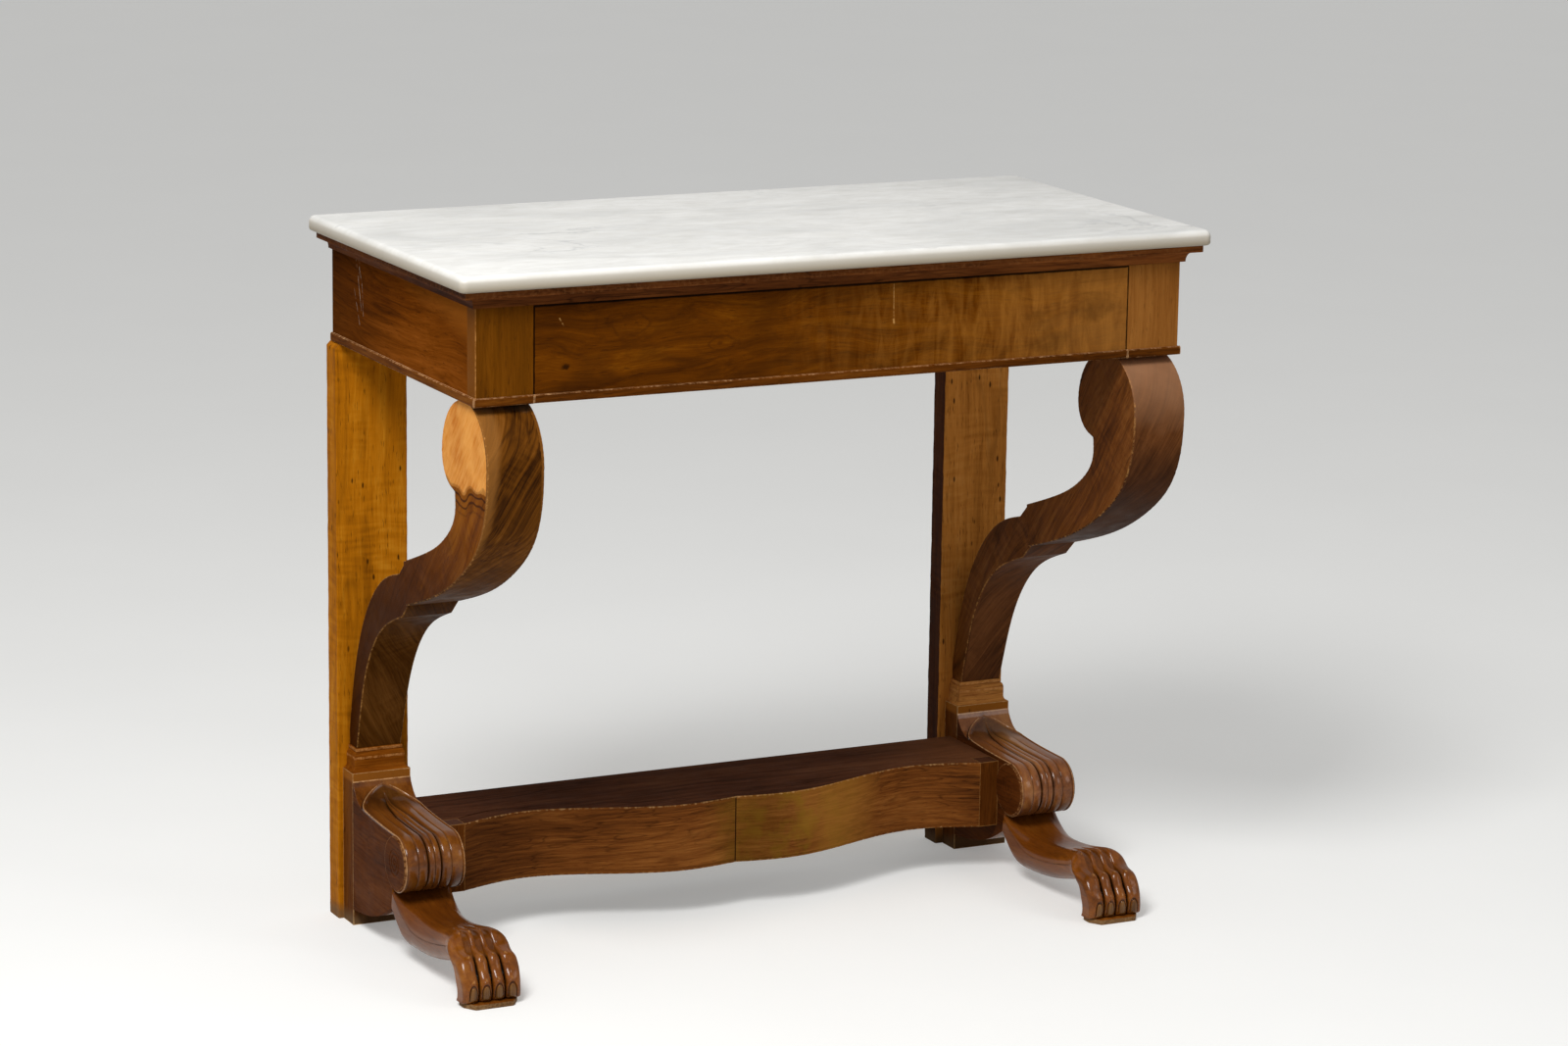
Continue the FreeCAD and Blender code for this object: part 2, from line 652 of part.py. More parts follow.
scroll_width = size("ScrollWidth")
upper = solid_of(upper_wire, Vector(scroll_width, 0, 0))
upper.translate(Vector(-scroll_width / 2, 0, 0))
shank_width = size("ShankTopWidth")
lower = solid_of(lower_wire, Vector(shank_width, 0, 0))
lower.translate(Vector(-shank_width / 2, 0, 0))
foot_frame = rectangle(size("ShankFootWidth") / 2, foot_back.z)
taper = Part.makeLoft([foot_frame, rectangle(shank_width / 2, neck[-1].z)], True, True)
leg = feature(upper.fuse(lower.common(taper)).removeSplitter(), "ScrollLeg", LEG)
both(drilled(leg, dowels_right), "scroll_leg")

# ---------------------------------------------------------------- base moulding and plinth
# A turned-over stack of band, ovolo, flat and hollow wraps the foot of the shank on three
# sides and dies on the post. It is the part that a front section and a side section share.
cap_top = size("CapTop")
plinth_top = size("PlinthTop")
half_plinth = size("PlinthWidth") / 2
band_half = size("ShankFootWidth") / 2 + size("BaseLedge")
flat_half_width = band_half + size("BaseSwell")


OVOLO_SWELL_SHARE = 0.7
OVOLO_DROP_SHARE = 0.45
COVE_SHARE = 0.3


def base_outline():
    """Half-width against height, down one side of the moulding. The ovolo and the hollow are
    arcs through a middle point, given as shares of their spread and drop."""
    band_foot = cap_top - size("BaseBand")
    ovolo_foot = band_foot - size("BaseOvolo")
    flat_foot = ovolo_foot - size("BaseFascia")
    swell = size("BaseSwell") * OVOLO_SWELL_SHARE
    ovolo = [(band_half - size("BaseLip"), band_foot),
             (band_half + swell, band_foot - size("BaseOvolo") * OVOLO_DROP_SHARE),
             (flat_half_width, ovolo_foot)]
    spread = half_plinth - flat_half_width
    drop = flat_foot - plinth_top
    hollow = [(flat_half_width, flat_foot),
              (flat_half_width + spread * COVE_SHARE, plinth_top + drop * COVE_SHARE),
              (half_plinth, plinth_top)]
    return band_foot, ovolo, hollow


def base_edges(point):
    """The side of the moulding as edges, each outline point turned into a place by point."""
    band_foot, ovolo, hollow = base_outline()
    top = point(band_half, cap_top)
    lip = point(band_half, band_foot)
    ovolo_points = [point(*place_of) for place_of in ovolo]
    hollow_points = [point(*place_of) for place_of in hollow]
    return [line(top, lip), line(lip, ovolo_points[0]), Part.Arc(*ovolo_points).toShape(),
            line(ovolo_points[2], hollow_points[0]), Part.Arc(*hollow_points).toShape()]


def front_view(side):
    return lambda out, z: Vector(side * out, 0, z)


right_view = front_view(1)
left_view = front_view(-1)
bottom_edge = line(right_view(half_plinth, plinth_top), left_view(half_plinth, plinth_top))
top_edge = line(left_view(band_half, cap_top), right_view(band_half, cap_top))
left_edges = list(reversed(base_edges(left_view)))
front_wire = Part.Wire(base_edges(right_view) + [bottom_edge] + left_edges + [top_edge])
shank_face = size(POST_FACE + " - ShankDepth + ShankFootWidth / 2")
post_face = size(POST_FACE)


def side_view(out, z):
    return Vector(0, shank_face - out, z)


side_wire = Part.Wire(base_edges(side_view) + [
    line(side_view(half_plinth, plinth_top), Vector(0, post_face, plinth_top)),
    line(Vector(0, post_face, plinth_top), Vector(0, post_face, cap_top)),
    line(Vector(0, post_face, cap_top), side_view(band_half, cap_top))])
front_solid = solid_of(front_wire, Vector(0, post_face, 0))
side_solid = solid_of(side_wire, Vector(2 * half_plinth, 0, 0))
side_solid.translate(Vector(-half_plinth, 0, 0))
both(feature(front_solid.common(side_solid), "BaseMoulding", LEG), "base_moulding")

PLINTH_FACE = f"({POST_FACE} - ShankDepth + ShankFootWidth / 2 - PlinthWidth / 2)"
plinth = board((LEG_IN, LEG_OUT), (PLINTH_FACE, POST_FACE), ("0", "PlinthTop"))
both(drilled(drilled(plinth, dowels_right), screws_right), "plinth_block")

# ---------------------------------------------------------------- volute
# One carved block glued to the plinth: a tongue that swells forward into a rolled end, with
# an arch cut under it.
plinth_face = size(PLINTH_FACE)
ankle_back = size(POST_FACE + " - AnkleReach")
crown = size("VoluteTop")
roll_radius = size("VoluteRadius")
roll = Vector(0, size(POST_FACE + " - VoluteReach"), crown - roll_radius)
tongue = Vector(0, plinth_face, size("TongueTop"))
heel = Vector(0, plinth_face, size("HeelRaise"))
arch = Vector(0, ankle_back, size("ArchRaise"))
run = plinth_face - ankle_back
crest = around(roll, roll_radius, 90)
TONGUE_SHARES = [(0.90, 0.42), (0.66, 0.10)]
ARCH_SHARES = [(0.28, 0.50), (0.60, 0.18)]

climb = tongue - crest
tongue_points = [tongue] + [crest + Vector(0, u * climb.y, w * climb.z) for u, w in TONGUE_SHARES]
arch_points = [Vector(0, ankle_back + u * run, heel.z + w * (arch.z - heel.z)) for u, w in ARCH_SHARES]
under = around(roll, roll_radius, -90)
joint_top = Vector(0, ankle_back, under.z)
volute_wire = Part.Wire([
    line(heel, tongue),
    curve(tongue_points + [crest]),
    arc(roll, roll_radius, 90, 180, 270),
    line(under, joint_top),
    line(joint_top, arch),
    curve([arch] + arch_points + [heel]),
])
both(feature(solid_of(volute_wire, Vector(2 * half_plinth, 0, 0)), "Volute", LEG_IN), "volute")

# ---------------------------------------------------------------- lion-paw foot
# Ankle and paw in one piece. The side view and the plan are each a smooth outline, and the
# paw is what both share. Four toes stand out from it over a thin base pad.
paw_front = size("PawFront")
paw_heel = size("PawHeel")
pad = size("PadThick")
ankle_run = ankle_back - paw_heel
paw_height = size("PawHeight")
INSTEP_SHARES = [(0.918, 1.0), (0.70, 0.88), (0.435, 0.90)]
BELLY_SHARES = [(0.947, 0.587), (0.855, 0.32), (0.725, 0.253), (0.53, 0.30), (0.135, 0.573)]
HEEL_SHARES = [(0.0097, 0.36), (0.058, 0.57)]
TOE_ROOT_SHARES = [(0.30, 0.90)]
KNUCKLE_SHARES = [(0.227, 1.0), (0.155, 0.98), (0.087, 0.83), (-0.01, 0.75), (-0.077, 0.58), (-0.112, 0.33)]


def on_paw(outline):
    """Points of the paw's side view: shares from heel to ankle joint, and of its height."""
    return [Vector(0, paw_heel + u * ankle_run, w * paw_height) for u, w in outline]


toe_tip = Vector(0, paw_front + size("ToeInset"), pad)
sole_back = Vector(0, paw_heel, pad)
heel_line = on_paw(HEEL_SHARES)
instep = on_paw(INSTEP_SHARES)
knuckles = on_paw(KNUCKLE_SHARES)
web = size("WebDepth")
web_line = [point + Vector(0, web, -web) for point in knuckles[1:]]
web_tip = toe_tip + Vector(0, web, 0)
ankle_wire = Part.Wire([
    curve([joint_top] + instep + knuckles[:1]),
    curve([knuckles[0]] + web_line + [web_tip]),
    line(web_tip, sole_back),
    curve([sole_back] + heel_line),
    curve([heel_line[-1]] + list(reversed(on_paw(BELLY_SHARES))) + [arch]),
    line(arch, joint_top),
])
half_paw = size("PawWidth") / 2
half_ankle = size("AnkleWidth") / 2
pad_half = half_paw - size("PadInset")
FLANK_SHARES = (0.48, 0.068, -0.039)
plan = [(half_plinth, ankle_back)]
for share, half in zip(FLANK_SHARES, (half_ankle, half_paw, pad_half)):
    plan.append((half, paw_heel + share * ankle_run))
plan.append((half_paw - size("PawTaper"), toe_tip.y))


def plan_side(side):
    return [Vector(side * x, y, 0) for x, y in plan]


right_side = plan_side(1)
left_side = plan_side(-1)
plan_wire = Part.Wire([curve(right_side), line(right_side[-1], left_side[-1]),
                       curve(list(reversed(left_side))), line(left_side[0], right_side[0])])
ankle_solid = solid_of(ankle_wire, Vector(2 * half_plinth, 0, 0))
ankle_solid.translate(Vector(-half_plinth, 0, 0))
paw_shape = ankle_solid.common(solid_of(plan_wire, Vector(0, 0, under.z + 1)))

TOES = 4
toe_pitch = size("PawWidth") / TOES
toe_half = (toe_pitch - size("ToeSplit")) / 2
toe_root = on_paw(TOE_ROOT_SHARES)[0]
toe_wire = Part.Wire([
    curve([toe_root] + knuckles + [toe_tip]),
    line(toe_tip, sole_back),
    line(sole_back, toe_root),
])
for number in range(TOES):
    centre = (number - (TOES - 1) / 2) * toe_pitch
    toe = solid_of(toe_wire, Vector(2 * toe_half, 0, 0))
    toe.translate(Vector(centre - toe_half, 0, 0))
    paw_shape = paw_shape.fuse(toe)

pad_side = [(size("PadWidth") / 2, paw_front), (pad_half, paw_front + size("PadCorner")),
            (pad_half, paw_heel)]
pad_corners = [Vector(x, y, 0) for x, y in pad_side] + [Vector(-x, y, 0) for x, y in reversed(pad_side)]
pad_solid = solid_of(Part.makePolygon(pad_corners + pad_corners[:1]), Vector(0, 0, pad))
both(feature(paw_shape.fuse(pad_solid).removeSplitter(), "PawFoot", LEG), "paw_foot")

# ---------------------------------------------------------------- shelf
# A board between the plinths with a serpentine front: two lobes that meet in a shallow notch
# at the middle, a hollow each side of them, and a straight block at each end.
LOBE_SHARE = 0.2
SLOPE_SHARE = 0.475
HOLLOW_SHARE = 0.77

shelf_half = size(LEG_IN)
wave_end = shelf_half - size("EndWidth")
band = size("FasciaThick")


def wave(shift):
    """The right-hand half of the shelf's front line, moved back by a shift."""
    stations = [(0, "NotchDepth"), (LOBE_SHARE, "LobeDepth"), (SLOPE_SHARE, "(LobeDepth + HollowDepth) / 2"),
                (HOLLOW_SHARE, "HollowDepth"), (1, "EndDepth")]
    return [Vector(share * wave_end, size(f"{SHELF_BACK} - {depth}") + shift, 0) for share, depth in stations]


front_line = wave(0)
inner_line = wave(band)
fascia_wire = Part.Wire([curve(front_line), line(front_line[-1], inner_line[-1]),
                         curve(list(reversed(inner_line))), line(inner_line[0], front_line[0])])
fascia_shape = solid_of(fascia_wire, Vector(0, 0, size("FasciaHeight")))
both(feature(fascia_shape, "ShelfFront", "0", "ShelfTop - FasciaHeight"), "shelf_front")


def flip(points):
    return [Vector(-p.x, p.y, p.z) for p in reversed(points)]


end_inner = Vector(shelf_half, size(SHELF_BACK + " - EndDepth") + band, 0)
back_corner = Vector(shelf_half, size(SHELF_BACK), 0)
board_wire = Part.Wire([
    curve(flip(inner_line)), curve(inner_line), line(inner_line[-1], end_inner), line(end_inner, back_corner),
    line(back_corner, Vector(-back_corner.x, back_corner.y, 0)),
    line(Vector(-back_corner.x, back_corner.y, 0), Vector(-end_inner.x, end_inner.y, 0)),
    line(Vector(-end_inner.x, end_inner.y, 0), flip(inner_line)[0]),
])
board_shape = solid_of(board_wire, Vector(0, 0, size("ShelfThick")))
keep(feature(board_shape, "ShelfBoard", "0", SHELF_FLOOR), "shelf_board")

end_block = board(before(LEG_IN, "EndWidth"), after(f"({SHELF_BACK} - EndDepth)", "FasciaThick"),
                  before("ShelfTop", "FasciaHeight"))
both(end_block, "shelf_end_block")

shelf_rail = board(centred(LEG_IN), before(SHELF_BACK, "ShelfRailDepth"),
                   before(SHELF_FLOOR, "ShelfRailHeight"))
both_dowels = gather([dowels_right, mirrored(dowels_right)], "BothDowels")
keep(drilled(shelf_rail, both_dowels), "shelf_back_rail")

glue_blocks = []
for share, depth in ((LOBE_SHARE, "LobeDepth"), (HOLLOW_SHARE, "HollowDepth")):
    centre = f"({share} * ({LEG_IN} - EndWidth) - ShelfBlock)"
    front = f"({SHELF_BACK} - {depth} + FasciaThick + ShelfBlockGap)"
    glue_blocks.append(board(after(centre, "2 * ShelfBlock"), after(front, "ShelfBlock"),
                             before(SHELF_FLOOR, "ShelfBlock")))
keep(gather(glue_blocks + [mirrored(block) for block in glue_blocks], "ShelfBlocks"), "shelf_glue_blocks")

# ---------------------------------------------------------------- check and write
doc.recompute()
faults = [thing.Label for thing in doc.Objects if {"Invalid", "Error"} & set(thing.State)]
faults += [thing.Label for thing in parts if thing.Shape.isNull() or not thing.Shape.isValid()]
if faults:
    raise RuntimeError("these pieces failed: " + ", ".join(faults))

os.makedirs("parts", exist_ok=True)
for thing in parts:
    thing.Shape.exportStep(os.path.join("parts", thing.Label + ".step"))
print("%d sub-parts written" % len(parts))
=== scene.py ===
import math

import bmesh
import bpy
import numpy as np
from mathutils import Matrix, Vector


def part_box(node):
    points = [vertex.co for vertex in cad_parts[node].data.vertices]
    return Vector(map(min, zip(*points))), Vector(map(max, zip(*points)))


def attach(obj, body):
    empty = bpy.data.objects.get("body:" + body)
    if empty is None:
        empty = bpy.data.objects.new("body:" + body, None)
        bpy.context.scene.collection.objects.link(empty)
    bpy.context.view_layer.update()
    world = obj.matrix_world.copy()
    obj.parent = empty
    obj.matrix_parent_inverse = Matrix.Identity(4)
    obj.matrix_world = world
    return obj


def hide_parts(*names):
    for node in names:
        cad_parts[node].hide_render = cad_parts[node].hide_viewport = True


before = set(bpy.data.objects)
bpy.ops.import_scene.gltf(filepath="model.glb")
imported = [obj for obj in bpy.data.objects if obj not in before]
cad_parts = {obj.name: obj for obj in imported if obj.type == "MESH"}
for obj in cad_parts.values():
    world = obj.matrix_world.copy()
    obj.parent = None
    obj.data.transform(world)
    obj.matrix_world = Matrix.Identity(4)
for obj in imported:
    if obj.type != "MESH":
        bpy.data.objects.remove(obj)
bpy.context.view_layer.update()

# ------------------------------------------------------------------ marble top
# A loose slab of white marble, sawn and polished, with a rounded edge along the front and sides.
# It lies on the case by its own weight.
MM = 0.001


def quads_of(rows, columns):
    """Corner numbers of the quads of a grid of rows by columns, whose last column joins its
    first."""
    row, column = np.meshgrid(np.arange(rows - 1), np.arange(columns), indexing="ij")
    right = (column + 1) % columns
    here = row * columns
    corners = [here + column, here + right, here + columns + right, here + columns + column]
    return np.stack(corners, -1).reshape(-1, 4)


def sheet(points, caps=True, flow=None, worn=0.0, zones=0):
    """One surface of a piece: a grid of points (rows, columns, 3) that closes on itself across,
    with its map, its wear (above nought where it is rubbed pale, below where dirt and painted shade
    sit) and its material numbers. Caps close its two ends."""
    rows, columns = points.shape[:2]
    quads = quads_of(rows, columns)
    if flow is None:
        flow = points[..., :2]
    worn = np.broadcast_to(worn, (rows, columns))
    zones = np.broadcast_to(zones, (rows, columns))
    ends = [np.arange(columns)[::-1], np.arange(columns) + (rows - 1) * columns] if caps else []
    return {"points": points.reshape(-1, 3), "quads": quads, "ends": ends, "flow": flow.reshape(-1, 2),
            "worn": worn.reshape(-1), "zones": zones.reshape(-1)[quads[:, 0]]}


def make_piece(name, sheets, materials, instead, body="table", crease=35):
    """A mesh from one or more closed sheets. It rides on its body and stands for its CAD nodes.
    Faces that meet at more than the crease's angle have a sharp edge between them."""
    points, faces, flow, worn, zones = [], [], [], [], []
    for part in sheets:
        first = sum(len(block) for block in points)
        points.append(part["points"])
        faces += [tuple(quad) for quad in (part["quads"] + first).tolist()]
        faces += [tuple(int(n) + first for n in end) for end in part["ends"]]
        flow.append(part["flow"])
        worn.append(part["worn"])
        zones += part["zones"].tolist() + [0] * len(part["ends"])
    mesh = bpy.data.meshes.new(name)
    mesh.from_pydata(np.concatenate(points), [], faces)
    mesh.polygons.foreach_set("material_index", zones)
    corner = np.zeros(len(mesh.loops), int)
    mesh.loops.foreach_get("vertex_index", corner)
    layer = mesh.uv_layers.new(name="grain")
    layer.data.foreach_set("uv", np.concatenate(flow)[corner].astype(np.float32).ravel())
    share = np.concatenate(worn).astype(np.float32)
    mesh.attributes.new("worn", "FLOAT", "POINT").data.foreach_set("value", np.maximum(share, 0))
    mesh.attributes.new("dirt_and_shade", "FLOAT", "POINT").data.foreach_set("value", np.maximum(-share, 0))
    for material in materials:
        mesh.materials.append(material)
    shell = bmesh.new()
    shell.from_mesh(mesh)
    bmesh.ops.remove_doubles(shell, verts=shell.verts, dist=MM / 1000)
    bmesh.ops.recalc_face_normals(shell, faces=shell.faces)
    shell.to_mesh(mesh)
    shell.free()
    mesh.shade_smooth()
    mesh.set_sharp_from_angle(angle=math.radians(crease))
    piece = bpy.data.objects.new(name, mesh)
    bpy.context.scene.collection.objects.link(piece)
    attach(piece, body)
    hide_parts(*instead)


def add(tree, kind, inputs=(), **settings):
    """A shader node. Inputs are values or other nodes' sockets, under the socket's name or number."""
    node = tree.nodes.new("ShaderNode" + kind)
    for key, value in settings.items():
        setattr(node, key, value)
    for key, value in dict(inputs).items():
        if isinstance(value, bpy.types.NodeSocket):
            tree.links.new(value, node.inputs[key])
        else:
            node.inputs[key].default_value = value
    return node


def calc(tree, operation, a, b=0.0, c=0.0):
    return add(tree, "Math", {0: a, 1: b, 2: c}, operation=operation).outputs[0]


def times(tree, a, b):
    return calc(tree, "MULTIPLY", a, b)


def scaled_sum(tree, a, factor, b):
    """The first value times the factor, plus the second."""
    return calc(tree, "MULTIPLY_ADD", a, factor, b)


def split(tree, place):
    """The x, y and z of a place."""
    return add(tree, "SeparateXYZ", {0: place}).outputs


def spread(tree, value, low, high, to_low=0.0, to_high=1.0):
    """The value stretched from low..high to another range, and held inside it."""
    return add(tree, "MapRange", {0: value, 1: low, 2: high, 3: to_low, 4: to_high}).outputs[0]


def blend(tree, share, a, b):
    """Two colours mixed by a share."""
    return add(tree, "Mix", {0: share, 6: a, 7: b}, data_type="RGBA", clamp_factor=True).outputs[2]


def tint(code):
    """A colour written as six hexadecimal digits, in the shader's linear numbers."""
    parts = np.array([int(code[n:n + 2], 16) for n in (0, 2, 4)]) / 255
    linear = np.where(parts <= 0.04045, parts / 12.92, ((parts + 0.055) / 1.055) ** 2.4)
    return (*linear.tolist(), 1.0)


def stain(tree, colour, share, code, strength=None):
    """A colour under a second one, which covers it by the share times the strength."""
    if strength is not None:
        share = times(tree, share, strength)
    return blend(tree, share, colour, tint(code))


def noise(tree, place, scale, detail=4.0, rough=0.55, twist=0.0):
    found = add(tree, "TexNoise", {"Vector": place, "Scale": scale, "Detail": detail, "Roughness": rough,
                                   "Distortion": twist})
    return found.outputs["Fac"]


def patches(tree, place, scale, detail, low, high):
    """Soft-edged patches: noise stretched between two levels and held there."""
    return spread(tree, noise(tree, place, scale, detail), low, high)


def new_material(name):
    material = bpy.data.materials.new(name)
    material.use_nodes = True
    tree = material.node_tree
    tree.nodes.clear()
    return material, tree


def finish_material(tree, colour, rough, bump, depth, **sockets):
    """The shader at the end of every material: its colour, its roughness and a fine relief."""
    relief = add(tree, "Bump", {"Height": bump, "Distance": depth, "Strength": 1.0}).outputs[0]
    shader = add(tree, "BsdfPrincipled", {"Base Color": colour, "Roughness": rough, "Normal": relief})
    for key, value in sockets.items():
        shader.inputs[key.replace("_", " ")].default_value = value
    add(tree, "OutputMaterial", {0: shader.outputs[0]})


slab_low, slab_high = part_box("marble_top")
SLAB_THICK = slab_high.z - slab_low.z
TOP_ROUND = 8 * MM
FOOT_ROUND = 4 * MM
SLAB_CORNER = 9 * MM


def marble_material():
    """Soft grey clouds, thin broken veins and a few specks in a warm white ground. The rounded
    edge is painted greyer and its foot browner, as painted shade where the edge turns from the light."""
    material, tree = new_material("white_marble")
    place = add(tree, "TexCoord").outputs["Object"]
    drift = add(tree, "Mapping", {0: place, "Rotation": (0, 0, 0.4), "Scale": (0.55, 1.2, 1.0)}).outputs[0]
    cloud = spread(tree, noise(tree, drift, 7.0, 5.0, 0.6, 0.8), 0.42, 0.70)
    fine = spread(tree, noise(tree, drift, 46.0, 5.0, 0.65, 0.6), 0.35, 0.70)
    line = calc(tree, "ABSOLUTE", calc(tree, "SUBTRACT", noise(tree, drift, 4.2, 6.0, 0.62, 0.5), 0.5))
    vein = times(tree, spread(tree, line, 0.0, 0.016, 1.0, 0.0), patches(tree, place, 5.0, 2.0, 0.52, 0.66))
    speck = spread(tree, noise(tree, place, 210.0, 2.0, 0.5), 0.72, 0.79)
    colour = stain(tree, tint("f6f5f1"), cloud, "cfcfcc", 0.75)
    colour = stain(tree, colour, fine, "d0cdc5", 0.45)
    colour = stain(tree, colour, vein, "a3a4a5", 0.45)
    colour = stain(tree, colour, speck, "a89c86", 0.3)
    height = split(tree, place)[2]
    # Painted shade: the rounded edge is greyer and its foot browner, where the edge turns away from the light
    # above.
    edge = spread(tree, height, slab_high.z - 7 * MM, slab_high.z - 0.5 * MM, 0.85, 0.0)
    foot = spread(tree, height, slab_low.z + FOOT_ROUND, slab_low.z + 14 * MM, 0.95, 0.0)
    colour = stain(tree, stain(tree, colour, edge, "c6bfb2"), foot, "988c78")
    gloss = spread(tree, fine, 0.0, 1.0, 0.38, 0.48)
    finish_material(tree, colour, gloss, fine, 0.03 * MM, Specular_IOR_Level=0.4)
    return material


def rounded_plan(low, high, radius):
    """Points round a rectangle whose four corners (front left, front right, back right, back
    left) are quarter circles, with the outward direction at each."""
    corners = [(low.x, low.y, 1, 1), (high.x, low.y, -1, 1), (high.x, high.y, -1, -1), (low.x, high.y, 1, -1)]
    places, outward = [], []
    for number, (x, y, to_x, to_y) in enumerate(corners):
        turn = np.radians(180 + 90 * number + np.linspace(0, 90, 10))
        direction = np.stack([np.cos(turn), np.sin(turn)], -1)
        places.append(np.array([x + to_x * radius, y + to_y * radius]) + radius * direction)
        outward.append(direction)
    return np.concatenate(places), np.concatenate(outward)


def slab_profile():
    """Inset and height up the slab's edge: a small quarter circle, an upright face and a larger
    quarter circle, which the flat of the top meets."""
    low_turn = np.radians(np.linspace(-90, 0, 8))
    high_turn = np.radians(np.linspace(0, 90, 14))
    low_part = FOOT_ROUND * np.stack([1 - np.cos(low_turn), 1 + np.sin(low_turn)])
    high_part = TOP_ROUND * np.stack([1 - np.cos(high_turn), np.sin(high_turn) - 1])
    return np.concatenate([low_part, high_part + [[0], [SLAB_THICK]]], axis=1)


plan, outward = rounded_plan(slab_low, slab_high, SLAB_CORNER)
inset, height = slab_profile()
slab = np.zeros((len(inset), len(plan), 3))
slab[..., :2] = plan[None] - inset[:, None, None] * outward[None]
slab[..., 2] = slab_low.z + height[:, None]
make_piece("marble_slab", [sheet(slab)], [marble_material()], body="marble", instead=["marble_top"],
           crease=50)

# ------------------------------------------------------------------ frieze case
# Stiles and end panels of the case: solid walnut boards, glued at the front corners, planed flat
# and wax polished. The arrises are rubbed pale.


def from_edges(tree, place, low, high):
    """How far a point on a board's surface is from the board's nearest arris. Of its distances
    to the three pairs of faces the smallest is nought, and the middle one is the answer."""
    parts = split(tree, place)
    gaps = []
    for axis in range(3):
        from_low = calc(tree, "SUBTRACT", parts[axis], low[axis])
        to_high = calc(tree, "SUBTRACT", high[axis], parts[axis])
        gaps.append(calc(tree, "MINIMUM", from_low, to_high))
    small = calc(tree, "MINIMUM", gaps[0], gaps[1])
    large = calc(tree, "MAXIMUM", gaps[0], gaps[1])
    return calc(tree, "MAXIMUM", small, calc(tree, "MINIMUM", large, gaps[2]))


def stretched(tree, place, along, across=1.0, up=None):
    """Coordinates in which a round pattern comes out longer along an axis where the factor is
    less than one. A board's grain is its first axis."""
    up = across if up is None else up
    return add(tree, "Mapping", {0: place, "Scale": (along, across, up)}).outputs[0]


def uneven(tree, value, place, scale, detail, size):
    """The value moved by noise of a given size."""
    return scaled_sum(tree, noise(tree, place, scale, detail), size, value)


def scratch(tree, place, start, end, width):
    """One where a point lies on the straight line between two places, nought off it. The nearest
    place on the line is the start plus the held share of the way to the end."""
    start, end = Vector(start), Vector(end)
    way = end - start
    off = add(tree, "VectorMath", {0: place, 1: start}, operation="SUBTRACT").outputs[0]
    share = add(tree, "VectorMath", {0: off, 1: way / way.length_squared}, operation="DOT_PRODUCT")
    held = spread(tree, share.outputs["Value"], 0.0, 1.0)
    reach = add(tree, "VectorMath", {0: way, "Scale": held}, operation="SCALE").outputs[0]
    gap = add(tree, "VectorMath", {0: off, 1: reach}, operation="DISTANCE").outputs["Value"]
    return spread(tree, gap, 0.4 * width, width, 1.0, 0.0)


VEIN_DARK = "1e0c04"
PORE_DARK = "1c0c04"
DIRT_AND_SHADE = "0e0703"


